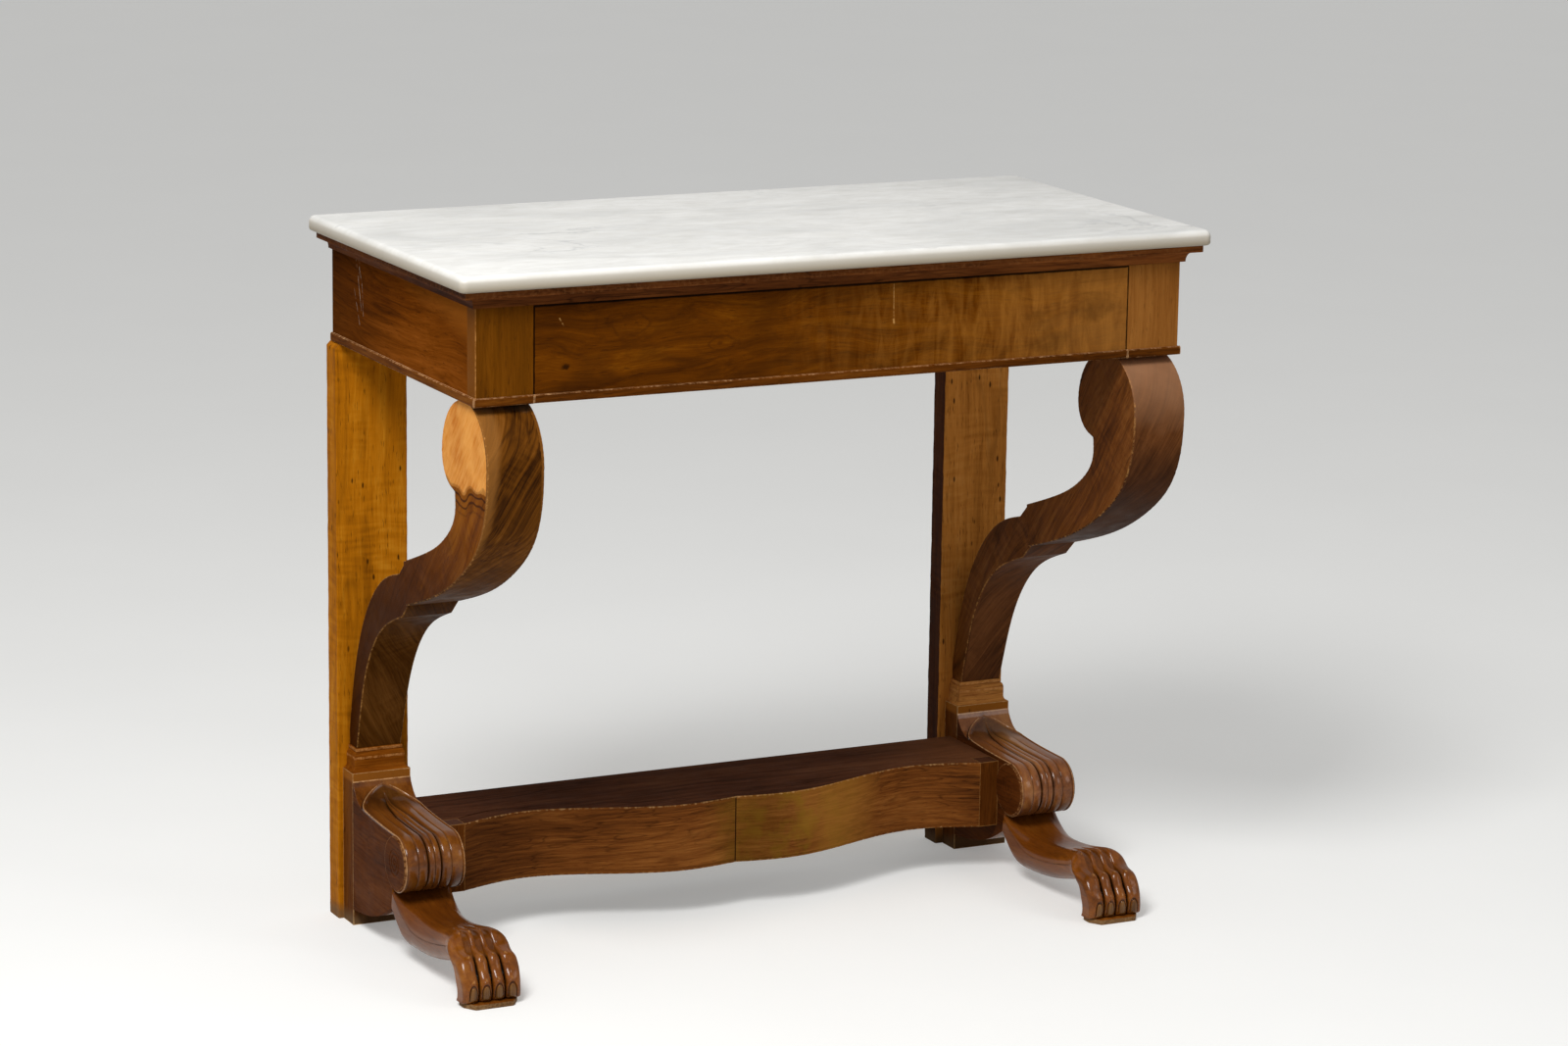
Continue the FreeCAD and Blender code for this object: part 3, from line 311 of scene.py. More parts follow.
def wood(name, shades, turn=(0, 0, 0), shift=(0, 0, 0), coords="Object", bands=26.0, warp=0.03, veins=0.5,
         ripple=0.0, flecks=0.45, fibre=0.20, rough=0.45, shine=0.01, coat=0.0, box=None, edge=0.5, worn=0.0,
         pale="c08a4c", extra=None):
    """Planed and polished wood whose grain runs along its own X after the turn. Three shades, dark
    to light, are mixed by clouds and bands of noise drawn out along the grain and bent by a slow
    warp. Veins are thin dark contours of a second noise, flecks are short open pores, and ripple
    is a figure across the grain. An extra function adds the marks of one piece. The arrises of a
    box are rubbed pale, or the places that the mesh marks as worn, and the places it marks with
    dirt and painted shade are dark."""
    dark, middle, light = shades
    material, tree = new_material(name)
    place = add(tree, "TexCoord").outputs["Object"]
    source = place if coords == "Object" else add(tree, "UVMap", uv_map="grain").outputs[0]
    turned = {0: source, "Location": shift, "Rotation": turn}
    own = add(tree, "Mapping", turned, vector_type="TEXTURE").outputs[0]
    slow = add(tree, "TexNoise", {"Vector": stretched(tree, own, 0.45), "Scale": 9.0, "Detail": 2.0})
    swing = add(tree, "VectorMath", {0: slow.outputs["Color"], 1: (0.5, 0.5, 0.5)}, operation="SUBTRACT")
    bent = add(tree, "VectorMath", {0: swing.outputs[0], 1: (warp,) * 3, 2: own}, operation="MULTIPLY_ADD")
    bent = bent.outputs[0]
    clouds = spread(tree, noise(tree, stretched(tree, bent, 0.3), 11.0, 3.0), 0.30, 0.70)
    lines = spread(tree, noise(tree, stretched(tree, bent, 0.045), bands * 5.0, 6.0, 0.68), 0.32, 0.68)
    fibres = spread(tree, noise(tree, stretched(tree, bent, 0.03), 520.0, 3.0, 0.6), 0.3, 0.7)
    tone = scaled_sum(tree, lines, 0.38, times(tree, clouds, 0.62 - fibre))
    tone = scaled_sum(tree, fibres, fibre, tone)
    if ripple:
        cross = noise(tree, stretched(tree, bent, 1.0, 0.16), 150.0, 1.0, 0.5)
        cross = spread(tree, cross, 0.3, 0.7, -0.5, 0.5)
        tone = scaled_sum(tree, times(tree, cross, patches(tree, own, 12.0, 2.0, 0.40, 0.60)), ripple, tone)
    colour = stain(tree, tint(dark), spread(tree, tone, 0.12, 0.5), middle)
    colour = stain(tree, colour, spread(tree, tone, 0.5, 0.9), light)
    rings = calc(tree, "FRACT", times(tree, noise(tree, stretched(tree, bent, 0.10), bands, 2.0, 0.5), 9.0))
    contour = calc(tree, "ABSOLUTE", calc(tree, "SUBTRACT", rings, 0.5))
    vein = times(tree, spread(tree, contour, 0.0, 0.14, 1.0, 0.0), spread(tree, clouds, 0.2, 0.9, 1.0, 0.15))
    colour = stain(tree, colour, vein, VEIN_DARK, veins)
    pores = spread(tree, noise(tree, stretched(tree, own, 0.10), 620.0, 2.0, 0.5), 0.62, 0.72)
    colour = stain(tree, colour, pores, PORE_DARK, flecks)
    if extra:
        colour = extra(tree, place, own, colour)
    if box or worn:
        break_up = noise(tree, place, 190.0, 4.0, 0.75)
    if box:
        ragged = scaled_sum(tree, break_up, -3 * MM, from_edges(tree, place, *box))
        colour = stain(tree, colour, spread(tree, ragged, -1.2 * MM, -0.4 * MM, 1.0, 0.0), pale, edge)
    if worn:
        ragged = scaled_sum(tree, break_up, 0.9, add(tree, "Attribute", attribute_name="worn").outputs["Fac"])
        colour = stain(tree, colour, spread(tree, ragged, 1.28, 1.50), pale, worn)
        # Dark where the mesh marks dirt and painted shade.
        colour = stain(tree, colour, add(tree, "Attribute", attribute_name="dirt_and_shade").outputs["Fac"], DIRT_AND_SHADE)
    gloss = spread(tree, noise(tree, place, 45.0, 3.0), 0.3, 0.7, rough - 0.07, rough + 0.09)
    height = scaled_sum(tree, fibres, 0.4, times(tree, pores, -0.9))
    finish_material(tree, colour, gloss, height, 0.08 * MM, Specular_IOR_Level=shine, Coat_Weight=coat,
                    Coat_Roughness=0.16)
    return material


def dress(node, material):
    """Gives a CAD node its finish."""
    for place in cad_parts[node].material_slots:
        place.material = material


UPRIGHT = (0, math.pi / 2, 0)
ALONG_DEPTH = (0, 0, math.pi / 2)
SIDES = ((1, "right"), (-1, "left"))
# The right stile's tones are lighter than the left's: partly its own wood, partly painted sheen.
STILE_SHADES = {-1: ("4c2a04", "603505", "74430b"), 1: ("663c12", "804e1e", "94602a")}
STILE_OUTSIDE = "70400f"
PANEL_SHADES = ("441e06", "6a360a", "884a16")
PANEL_SHADOW = "2a160a"
PANEL_SAPWOOD = "92541a"
SCRATCH_WHITE = "c9b8a4"
# Each scratch: where it starts and ends (from the panel's back edge, from its top) and its width.
PANEL_SCRATCHES = (((80, 18), (98, 82), 1.0), ((88, 20), (100, 52), 0.8), ((100, 45), (104, 88), 0.7),
                   ((75, 60), (92, 100), 0.7), ((94, 14), (89, 50), 0.6))
panel_low, panel_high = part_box("side_panel_left")
CASE_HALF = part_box("stile_right")[1].x


def panel_marks(tree, place, own, colour):
    """A painted shadow darkens the board towards the back. A lighter band of sapwood runs along its
    top, and a few white scratches lie near its back edge."""
    parts = split(tree, place)
    wavy = uneven(tree, parts[2], own, 7.0, 2.0, 50 * MM)
    leaning = scaled_sum(tree, calc(tree, "SUBTRACT", panel_low.y, parts[1]), 0.22, wavy)
    band = spread(tree, leaning, panel_high.z - 45 * MM, panel_high.z - 5 * MM)
    to_back = spread(tree, parts[1], panel_high.y - 240 * MM, panel_high.y, 0.0, 0.6)
    # Painted shade: darker towards the back.
    colour = stain(tree, colour, to_back, PANEL_SHADOW)
    colour = stain(tree, colour, band, PANEL_SAPWOOD, 0.9)
    for start, end, width in PANEL_SCRATCHES:
        ends = [(panel_low.x, panel_high.y - back * MM, panel_high.z - down * MM)
                for back, down in (start, end)]
        mark = scratch(tree, place, *ends, width * MM)
        broken = times(tree, mark, patches(tree, place, 130.0, 3.0, 0.42, 0.62))
        colour = stain(tree, colour, broken, SCRATCH_WHITE, 0.45)
    return colour


def red_outside(tree, place, own, colour):
    """The outer side of the stile is as red as the end panel it is glued to."""
    across = calc(tree, "ABSOLUTE", split(tree, place)[0])
    outer = spread(tree, across, CASE_HALF - 0.9 * MM, CASE_HALF - 0.4 * MM)
    return stain(tree, colour, outer, STILE_OUTSIDE, 0.85)


FAR_OFF = 1.0
for side, name in SIDES:
    # Only the stile's outer front arris is rubbed, so the box's other sides are moved far off.
    low, high = (Vector(corner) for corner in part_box("stile_" + name))
    low.z -= FAR_OFF
    high.z += FAR_OFF
    high.y += FAR_OFF
    if side > 0:
        low.x -= FAR_OFF
    else:
        high.x += FAR_OFF
    shift = (0.1 + 0.1 * side, 0.1, 0.03)
    dress("stile_" + name, wood("stile_walnut_" + name, STILE_SHADES[side], UPRIGHT, shift, box=(low, high),
                                bands=22, veins=0.12, extra=red_outside))
    dress("side_panel_" + name, wood("panel_walnut_" + name, PANEL_SHADES, ALONG_DEPTH, shift, bands=16,
                                     veins=0.4, warp=0.05, shine=0.0, extra=panel_marks))

# ------------------------------------------------------------------ cornice
# A walnut moulding round the front and sides of the case, a hollow under a flat band, planed in
# one length a side and mitred at the corners. It is veneered in a dark striped wood.
CASE_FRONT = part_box("stile_right")[0].y
CASE_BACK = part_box("back_panel")[1].y
CORNICE_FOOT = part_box("cornice_front")[0].z


def rounded(corners, cut):
    """A closed outline with each corner rounded by a short parabola. The cut is how far the
    parabola starts before the corner, for all corners or one by one."""
    corners = np.asarray(corners, float)
    cut = np.broadcast_to(cut, len(corners))
    before, after = np.roll(corners, 1, axis=0), np.roll(corners, -1, axis=0)
    share = np.linspace(0, 1, 5)[None, :, None]

    def toward(other):
        way = other - corners
        length = np.linalg.norm(way, axis=1)[:, None]
        return corners + way / length * np.minimum(cut[:, None], 0.45 * length)

    start, end = toward(before)[:, None], toward(after)[:, None]
    bend = (1 - share) ** 2 * start + 2 * share * (1 - share) * corners[:, None] + share ** 2 * end
    return bend.reshape(-1, 2)


BAND_OUT = 19.5
BAND_FOOT = 12.7
BAND_TOP = 21.5
HOLLOW_FOOT = 4.5
HOLLOW_OUT = 6.0
HOLLOW_RISE = 11.7


def cornice_profile():
    """How far the moulding stands out, and its height above its foot, round the whole section.
    The hollow is a quarter of an ellipse."""
    turn = np.radians(np.linspace(0, 90, 12))
    hollow = np.stack([HOLLOW_FOOT + HOLLOW_OUT * (1 - np.sin(turn)), HOLLOW_RISE * np.cos(turn)], -1)
    band = rounded([(0, BAND_TOP), (BAND_OUT, BAND_TOP), (BAND_OUT, BAND_FOOT), (10.6, BAND_FOOT)],
                   [0.01, 0.8, 0.8, 0.05])
    return np.vstack([band, hollow, [(0, 0)]]) * MM


CORNICE_STATIONS = np.linspace(0, 1, 40)[:, None]
CORNICE_PALE = "8a5a34"
out, up = cornice_profile().T


def rosewood_streaks(tree, place, own, colour):
    """Orange streaks towards the right-hand end of the front moulding."""
    there = spread(tree, split(tree, place)[0], 0.18, 0.28)
    stripes = spread(tree, noise(tree, stretched(tree, own, 0.10), 240.0, 3.0, 0.5), 0.40, 0.60)
    return stain(tree, colour, times(tree, there, times(tree, stripes, 0.22)), "a8602a")


def grid(x, y, z):
    """A grid of points from coordinates that may be the same all along a row or a column."""
    return np.stack(np.broadcast_arrays(x, y, z), -1)


front_grid = grid((2 * CORNICE_STATIONS - 1) * (CASE_HALF + out), CASE_FRONT - out, CORNICE_FOOT + up)
near_face = out > (BAND_OUT - 0.9) * MM
near_corner = (up < (BAND_FOOT + 0.9) * MM) | (up > (BAND_TOP - 0.9) * MM)
on_arris = np.where(near_face & near_corner, 0.85, 0.0)
front_wood = wood("cornice_walnut_front", ("301608", "5c3114", "7c4820"), shift=(0.1, 0, 0), bands=60,
                  veins=0.7, warp=0.015, worn=0.5, pale=CORNICE_PALE, extra=rosewood_streaks)
make_piece("cornice_run_front", [sheet(front_grid, worn=on_arris)], [front_wood],
           instead=["cornice_front"])
for side, name in SIDES:
    to_back = CASE_FRONT - out + CORNICE_STATIONS * (CASE_BACK - CASE_FRONT + out)
    side_grid = grid(side * (CASE_HALF + out), to_back, CORNICE_FOOT + up)
    side_wood = wood("cornice_walnut_" + name, ("2e1407", "542a10", "744219"), ALONG_DEPTH,
                     (0.1, 0.2 * side, 0), bands=50, veins=0.5, warp=0.015, worn=0.5, pale=CORNICE_PALE)
    make_piece("cornice_run_" + name, [sheet(side_grid, worn=on_arris)], [side_wood],
               instead=["cornice_side_" + name])

# ------------------------------------------------------------------ bead
# A half-round bead glued along the bottom of stiles, sides and drawer front. Its upper edge is
# rubbed to a pale line, most of all on the sides.
for node in ("bead_stile_left", "bead_stile_right", "bead_side_left", "bead_side_right", "drawer_bead"):
    on_side = "side" in node
    dress(node, wood(node + "_walnut", ("381a04", "5c3009", "7a4815"), ALONG_DEPTH if on_side else (0, 0, 0),
                     box=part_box(node), bands=40, veins=0.3, edge=0.95 if on_side else 0.65, pale="c89a6c"))

# ------------------------------------------------------------------ drawer
# One wide drawer behind a flush walnut front with no pull. The front is figured, knotty at the
# middle and rippled to the right. The box behind it is plain pale wood, grooved for its bottom.
drawer_low, drawer_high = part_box("drawer_front")
DRAWER_DARK = "2e1404"
# Each swirl and the knot: x and z of its middle, half its width and half its height.
SWIRLS = ((-0.263, 0.8006, 0.040, 0.016), (-0.1525, 0.7708, 0.026, 0.011))
KNOT = (-0.3447, 0.7555, 0.0075, 0.0055)
KNOT_DARK = "1c0c03"
# Each scratch: x and z of its start, x and z of its end, and its width.
DRAWER_SCRATCHES = ((-0.352, 0.812, -0.347, 0.803, 0.0009), (0.0690, 0.842, 0.0700, 0.779, 0.0007),
                    (0.0695, 0.785, 0.0705, 0.779, 0.0015))


def ring_round(tree, place, x, z, wide, high):
    """Distance from a middle on the front, as a share of an ellipse's half width and height."""
    off = add(tree, "VectorMath", {0: place, 1: (x, 0, z)}, operation="SUBTRACT").outputs[0]
    scaled = add(tree, "VectorMath", {0: off, 1: (1 / wide, 0, 1 / high)}, operation="MULTIPLY").outputs[0]
    return add(tree, "VectorMath", {0: scaled}, operation="LENGTH").outputs["Value"]


def drawer_figure(tree, place, own, colour):
    """Ripple that grows to the right, a painted sheen that lightens the right end, dark patches,
    two swirls, a knot, a few scratches, and a painted shadow line where the front meets the
    cornice and the stiles."""
    parts = split(tree, place)
    rows = noise(tree, stretched(tree, place, 1.0, 1.0, 0.22), 85.0, 3.0, 0.55, 0.8)
    ripple = times(tree, spread(tree, parts[0], -0.10, 0.22), spread(tree, rows, 0.34, 0.66))
    colour = stain(tree, colour, ripple, "a26a28", 0.45)
    # Painted sheen: the right end is lighter.
    colour = stain(tree, colour, spread(tree, parts[0], 0.18, 0.38, 0.0, 0.45), "a06a30")
    clouds = noise(tree, stretched(tree, place, 1.0, 1.0, 2.2), 12.0, 4.0, 0.6, 0.8)
    colour = stain(tree, colour, spread(tree, clouds, 0.52, 0.70), "341803", 0.45)
    for swirl in SWIRLS:
        near = ring_round(tree, place, *swirl)
        bent = scaled_sum(tree, noise(tree, place, 24.0, 4.0, 0.6), 2.4, near)
        rings = spread(tree, calc(tree, "SINE", times(tree, bent, 8.0)), 0.3, 0.95)
        inside = spread(tree, near, 0.3, 1.8, 1.0, 0.0)
        colour = stain(tree, colour, times(tree, rings, inside), DRAWER_DARK, 0.40)
    near = calc(tree, "SUBTRACT", ring_round(tree, place, *KNOT), 0.8)
    ragged = uneven(tree, near, place, 210.0, 3.0, 1.6)
    colour = stain(tree, colour, spread(tree, ragged, 0.3, 0.8, 0.85, 0.0), KNOT_DARK)
    for x, z, x2, z2, width in DRAWER_SCRATCHES:
        mark = scratch(tree, place, (x, drawer_low.y, z), (x2, drawer_low.y, z2), width)
        broken = times(tree, mark, patches(tree, place, 150.0, 3.0, 0.40, 0.60))
        colour = stain(tree, colour, broken, "c89858", 0.7)
    # Painted shadow: a dark line in the gaps above the front and at its ends.
    top_gap = calc(tree, "SUBTRACT", drawer_high.z, parts[2])
    right_gap = calc(tree, "SUBTRACT", drawer_high.x, parts[0])
    end_gap = calc(tree, "MINIMUM", right_gap, calc(tree, "SUBTRACT", parts[0], drawer_low.x))
    ragged = times(tree, noise(tree, place, 60.0, 4.0, 0.7), 2 * MM)
    top_shadow_line = spread(tree, calc(tree, "SUBTRACT", top_gap, ragged), 1.0 * MM, 2.2 * MM, 1.0, 0.0)
    end_shadow_line = spread(tree, calc(tree, "SUBTRACT", end_gap, ragged), -0.2 * MM, 0.6 * MM, 1.0, 0.0)
    on_face = spread(tree, parts[1], drawer_low.y + 0.5 * MM, drawer_low.y + 1.0 * MM, 0.92, 0.0)
    return stain(tree, colour, times(tree, calc(tree, "MAXIMUM", top_shadow_line, end_shadow_line), on_face), "0a0502")


dress("drawer_front", wood("drawer_walnut", ("3a1a02", "5e3003", "7a4608"), bands=11, warp=0.09, veins=0.35,
                           extra=drawer_figure))
for node in ("drawer_back", "drawer_bottom", "drawer_side_left", "drawer_side_right"):
    turn = ALONG_DEPTH if "side" in node else (0, 0, 0)
    dress(node, wood(node + "_pine", ("8a6a3e", "b0905c", "c8aa78"), turn, bands=24, veins=0.15, rough=0.68,
                     shine=0.2, box=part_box(node), pale="d8c090"))

# ------------------------------------------------------------------ inside framing
# Rails, runners, guides, kickers, stops, glue blocks and back of the case: sawn secondary wood,
# planed on the working faces, glued and left bare.
SAWN_SHADES = ("6e5230", "94744a", "b09262")


def dress_sawn(node, turn=(0, 0, 0)):
    """Gives a node of secondary wood its finish."""
    dress(node, wood(node + "_wood", SAWN_SHADES, turn, bands=20, veins=0.25, rough=0.75, shine=0.15,
                     box=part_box(node), pale="c4a878"))


for node in ("back_panel", "corner_blocks", "drawer_stops", "lower_back_rail", "lower_rail", "top_rail"):
    dress_sawn(node)
dress_sawn("top_cross_rail", ALONG_DEPTH)
for side, name in SIDES:
    for piece in ("drawer_guide_", "drawer_kicker_", "drawer_runner_", "lower_side_rail_"):
        dress_sawn(piece + name, ALONG_DEPTH)

# ------------------------------------------------------------------ rear posts
# Flat posts of golden walnut from the floor to the case, glued to it and screwed to the plinth
# blocks. Their arrises are uneven with age, and the left one has lost its outer top corner.
post_low, post_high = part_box("rear_post_right")
POST_HALF = (post_high.x - post_low.x) / 2
POST_X = (post_low.x + post_high.x) / 2
POST_FACE = post_low.y
POST_TOP = post_high.z
LOST_CORNER = {1: 1.0 * MM, -1: 6.0 * MM}


def section(face, side, bend=5, back=None):
    """Columns round a board with rounded arrises. Each column is four factors: of the half width
    and the rounding across, and of the depth and the rounding front to back. The last two rows
    say how near the arris a column is, and which of the four faces it lies on."""
    back = face if back is None else back
    turn = np.linspace(0, math.pi / 2, bend)
    near_corner = np.interp(np.abs(2 * side - 1), [0.80, 0.94, 1.0], [0.0, 0.35, 0.9])
    one = np.ones(bend)

    def flat(across, depth, zone):
        near_arris = np.interp(np.abs(across), [0.86, 0.95, 1.0], [0.0, 0.35, 0.9])
        same = 0 * across
        return np.stack([across, -across, same + depth, same, near_arris, same + zone])

    front_right = np.stack([one, np.sin(turn) - 1, 0 * one, 1 - np.cos(turn), one, 0 * one])
    right = np.stack([1 + 0 * side, 0 * side, side, 1 - 2 * side, near_corner, 1 + 0 * side])
    back_right = np.stack([one, np.cos(turn) - 1, one, np.sin(turn) - 1, one, one])
    flip = np.array([-1, -1, 1, 1, 1, 1])[:, None]
    left = (right * flip)[:, ::-1]
    left[5] = 3
    return np.concatenate([flat(face, 0, 0), front_right, right, back_right, flat(back[::-1], 1, 2),
                           (back_right * flip)[:, ::-1], left, (front_right * flip)[:, ::-1]], axis=1)


def lengths(path):
    """The distance along a path at each of its points."""
    return np.concatenate([[0], np.cumsum(np.linalg.norm(np.diff(path, axis=0), axis=1))])


def sleeve(front, back, half, ease, columns, relief=0.0):
    """A board whose front and back follow two outlines in the side view. At each station its
    section lies in the plane of the x axis and the line from front to back. Relief moves the
    front columns along that line."""
    across_line = back - front
    depth = np.linalg.norm(across_line, axis=1)[:, None]
    direction = across_line / depth
    half = np.broadcast_to(half, len(front))[:, None]
    ease = np.minimum(np.broadcast_to(ease, len(front))[:, None], 0.45 * depth)
    x = half * columns[0] + ease * columns[1]
    inward = depth * columns[2] + ease * columns[3] + relief
    points = grid(x, front[:, :1] + direction[:, :1] * inward, front[:, 1:] + direction[:, 1:] * inward)
    along = lengths((front + back) / 2)
    around = lengths(points[len(front) // 2])
    return points, np.stack(np.broadcast_arrays(along[:, None], around[None]), -1)


def wander(at, seed):
    """A slow irregular wave: five sines of unlike length, with phases from a seed."""
    phase = np.random.default_rng(seed).uniform(0, 2 * math.pi, 5)
    pitch = np.array([31.0, 47.0, 83.0, 139.0, 211.0])
    return np.sin(at[..., None] * pitch + phase).mean(-1)


def placed(points, side, x):
    """The piece's points set at its distance from the middle of the table, right (1) or left (-1)."""
    return (points + (x, 0, 0)) * (side, 1, 1)


side_columns = np.array([0.02, 0.06, 0.12, 0.25, 0.4, 0.55, 0.7, 0.85, 0.94, 0.98])
post_columns = section(np.linspace(-1, 1, 15)[1:-1], side_columns)
# The right post's tones are lighter: partly its own golden wood, partly painted light where the top shades
# it. The right post's sides take darker tones than its front: painted shade on its inner face. The left
# post's sides keep its front's tones.
POST_SHADES = {1: ("824c18", "b0702e", "c88a46"), -1: ("7c4606", "a8640a", "c2811e")}
POST_SIDE_SHADES = {1: ("240f05", "3c1c0a", "542e12"), -1: POST_SHADES[-1]}


def post_marks(tree, place, own, colour):
    """Worm holes and black flecks, and bare grey-brown wood at the foot."""
    squat = stretched(tree, place, 1.0, 1.0, 0.35)
    cells = add(tree, "TexVoronoi", {"Vector": squat, "Scale": 75.0}).outputs
    some = patches(tree, place, 14.0, 2.0, 0.34, 0.44)
    holes = times(tree, spread(tree, cells["Distance"], 0.07, 0.13, 1.0, 0.0), some)
    colour = stain(tree, colour, holes, "170a03", 0.85)
    height = uneven(tree, split(tree, place)[2], place, 40.0, 3.0, 20 * MM)
    return stain(tree, colour, spread(tree, height, 16 * MM, 30 * MM, 1.0, 0.0), "6a5238", 0.8)


for side, name in SIDES:
    # Rows lie closer at the foot and at the top, where the corners are worn.
    height = np.concatenate([[0, 0.6, 1.6], np.linspace(4, POST_TOP / MM - 8, 90),
                             np.linspace(POST_TOP / MM - 7, POST_TOP / MM, 12)]) * MM
    face_line = np.stack([np.full(len(height), POST_FACE), height], -1)
    rear_line = np.stack([np.full(len(height), post_high.y), height], -1)
    ease = 1.5 * MM * (1 + 0.8 * wander(height * 4, 21 + side))
    points, flow = sleeve(face_line, rear_line, POST_HALF, ease, post_columns)
    lost = np.clip(LOST_CORNER[side] - (POST_TOP - height), 0, None)[:, None]
    points[..., 0] = np.minimum(points[..., 0], POST_HALF - lost)
    points = points[::-1]
    worn = post_columns[4] * (0.55 + 0.45 * wander(height[::-1] * 3, 5)[:, None])
    look = {"bands": 14, "veins": 0.25, "ripple": 0.28, "flecks": 0.7, "worn": 0.5, "pale": "c89650",
            "extra": post_marks}
    make_piece("post_" + name, [sheet(placed(points, side, POST_X), flow=flow, worn=worn,
                                      zones=(post_columns[5] % 2).astype(int))],
               [wood("post_walnut_" + name, POST_SHADES[side], UPRIGHT, (0, 0.3 * side, 0.1), **look),
                wood("post_edge_" + name, POST_SIDE_SHADES[side], UPRIGHT, (0, 0.3 * side, 0.1), **look)],
               instead=["rear_post_" + name])

# ------------------------------------------------------------------ scroll legs
# Each leg is sawn to an S from thick walnut, in two thicknesses that meet at a shoulder half way
# down, and faced with figured veneer. It is dowelled into the case and glued to the post.
leg_low, leg_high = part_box("scroll_leg_right")
LEG_X = (leg_low.x + leg_high.x) / 2
SCROLL_HALF = (leg_high.x - leg_low.x) / 2
SHANK_TOP_HALF = 32 * MM
SHANK_FOOT_HALF = 28.5 * MM
HEAD_RADIUS = 69 * MM
CURL_RADIUS = 39 * MM
HEAD_FLAT = 0.5 * MM
SHANK_DEPTH = 24 * MM
LEG_REACH = leg_high.y - leg_low.y
LEG_RISE = leg_high.z - leg_low.z
BOW = [(0.007, 0.786), (0.048, 0.692), (0.156, 0.599), (0.309, 0.520), (0.550, 0.4415)]
NECK = [(0.215, 0.734), (0.2785, 0.6613), (0.4145, 0.5968), (0.568, 0.5464)]
SHANK_FRONT = [(0.5965, 0.4032), (0.752, 0.3367), (0.868, 0.2097), (0.921, 0.0827)]
SHANK_BACK = [(0.616, 0.506), (0.717, 0.4758), (0.862, 0.3609), (0.958, 0.1835), (1.0, 0.038)]


def on_leg(shares):
    """Places in the leg's side view (depth, height) from shares of its reach and rise."""
    return np.array([leg_low.y, leg_low.z]) + np.array(shares) * (LEG_REACH, LEG_RISE)


def spline(points):
    """A natural cubic spline through the points against the length of its chords. Its second
    derivatives solve one set of linear equations, and each span is the usual cubic in them."""
    points = np.asarray(points, float)
    chord = lengths(points)
    gap = np.diff(chord)
    size = len(points)
    system = np.eye(size)
    right = np.zeros_like(points)
    inner = np.arange(1, size - 1)
    system[inner, inner] = 2 * (gap[:-1] + gap[1:])
    system[inner, inner - 1] = gap[:-1]
    system[inner, inner + 1] = gap[1:]
    slope = np.diff(points, axis=0) / gap[:, None]
    right[inner] = 6 * np.diff(slope, axis=0)
    second = np.linalg.solve(system, right)
    at = np.linspace(0, chord[-1], 120)
    span = np.clip(np.searchsorted(chord, at, side="right") - 1, 0, size - 2)
    here = ((chord[span + 1] - at) / gap[span])[:, None]
    there = 1 - here
    step = (gap[span] ** 2 / 6)[:, None]
    return (here * points[span] + there * points[span + 1]
            + step * ((here ** 3 - here) * second[span] + (there ** 3 - there) * second[span + 1]))


def arc(centre, radius, start, end):
    turn = np.radians(np.linspace(start, end, 60))
    return np.asarray(centre) + radius * np.stack([np.cos(turn), np.sin(turn)], -1)


def at_shares(path, shares):
    """Places along a path at the given shares of its length."""
    along = lengths(path)
    return np.stack([np.interp(shares * along[-1], along, path[:, axis]) for axis in (0, 1)], -1)


def even(path, count):
    """The same path in equal steps of its length."""
    return at_shares(path, np.linspace(0, 1, count))


head_centre = np.array([leg_low.y + HEAD_RADIUS, leg_high.z + HEAD_FLAT - HEAD_RADIUS])
curl_centre = head_centre + (HEAD_RADIUS - CURL_RADIUS, 0)
flat_turn = math.degrees(math.acos((HEAD_RADIUS - HEAD_FLAT) / HEAD_RADIUS))
head_front = arc(head_centre, HEAD_RADIUS, 90 + flat_turn, 180)
head_back = arc(head_centre, HEAD_RADIUS, 90 - flat_turn, 0)
curl = arc(curl_centre, CURL_RADIUS, 0, -90)
bow_line = spline(np.vstack([head_front[-1], on_leg(BOW)]))
neck_line = spline(np.vstack([curl[-1], on_leg(NECK)]))
HEAD_ROWS = 40
BOW_ROWS = 110
scroll_front = np.vstack([even(head_front, HEAD_ROWS)[:-1], even(bow_line, BOW_ROWS)])
scroll_back = np.vstack([even(head_back, HEAD_ROWS)[:-1], even(np.vstack([curl, neck_line[1:]]), BOW_ROWS)])
SHANK_ROWS = 100
shank_foot_back = np.array([leg_high.y, leg_low.z])
shank_foot_front = shank_foot_back - (SHANK_DEPTH, 0)
shank_front = np.vstack([bow_line[-1], spline(np.vstack([on_leg(SHANK_FRONT), shank_foot_front]))])
shank_back = np.vstack([neck_line[-1], spline(on_leg(SHANK_BACK)), shank_foot_back])
shank_front = np.vstack([shank_front[:1], even(shank_front[1:], SHANK_ROWS)])
shank_back = np.vstack([shank_back[:1], even(shank_back[1:], SHANK_ROWS)])
taper = np.interp(shank_front[:, 1], [leg_low.z, bow_line[-1, 1]], [SHANK_FOOT_HALF, SHANK_TOP_HALF])
face_columns = np.linspace(-1, 1, 25)[1:-1]
leg_columns = section(face_columns, side_columns)
FRONT_SHADES = {-1: ("271103", "62380c", "905c26"), 1: ("321a0b", "5c3519", "764826")}
SIDE_SHADES = {-1: ("4c2403", "763e08", "965814"), 1: ("381c0c", "5e3412", "7c4c22")}
SAP_LINE = 617 * MM
TAN_WIDTH = 27 * MM
TAN_LENGTH = 210 * MM


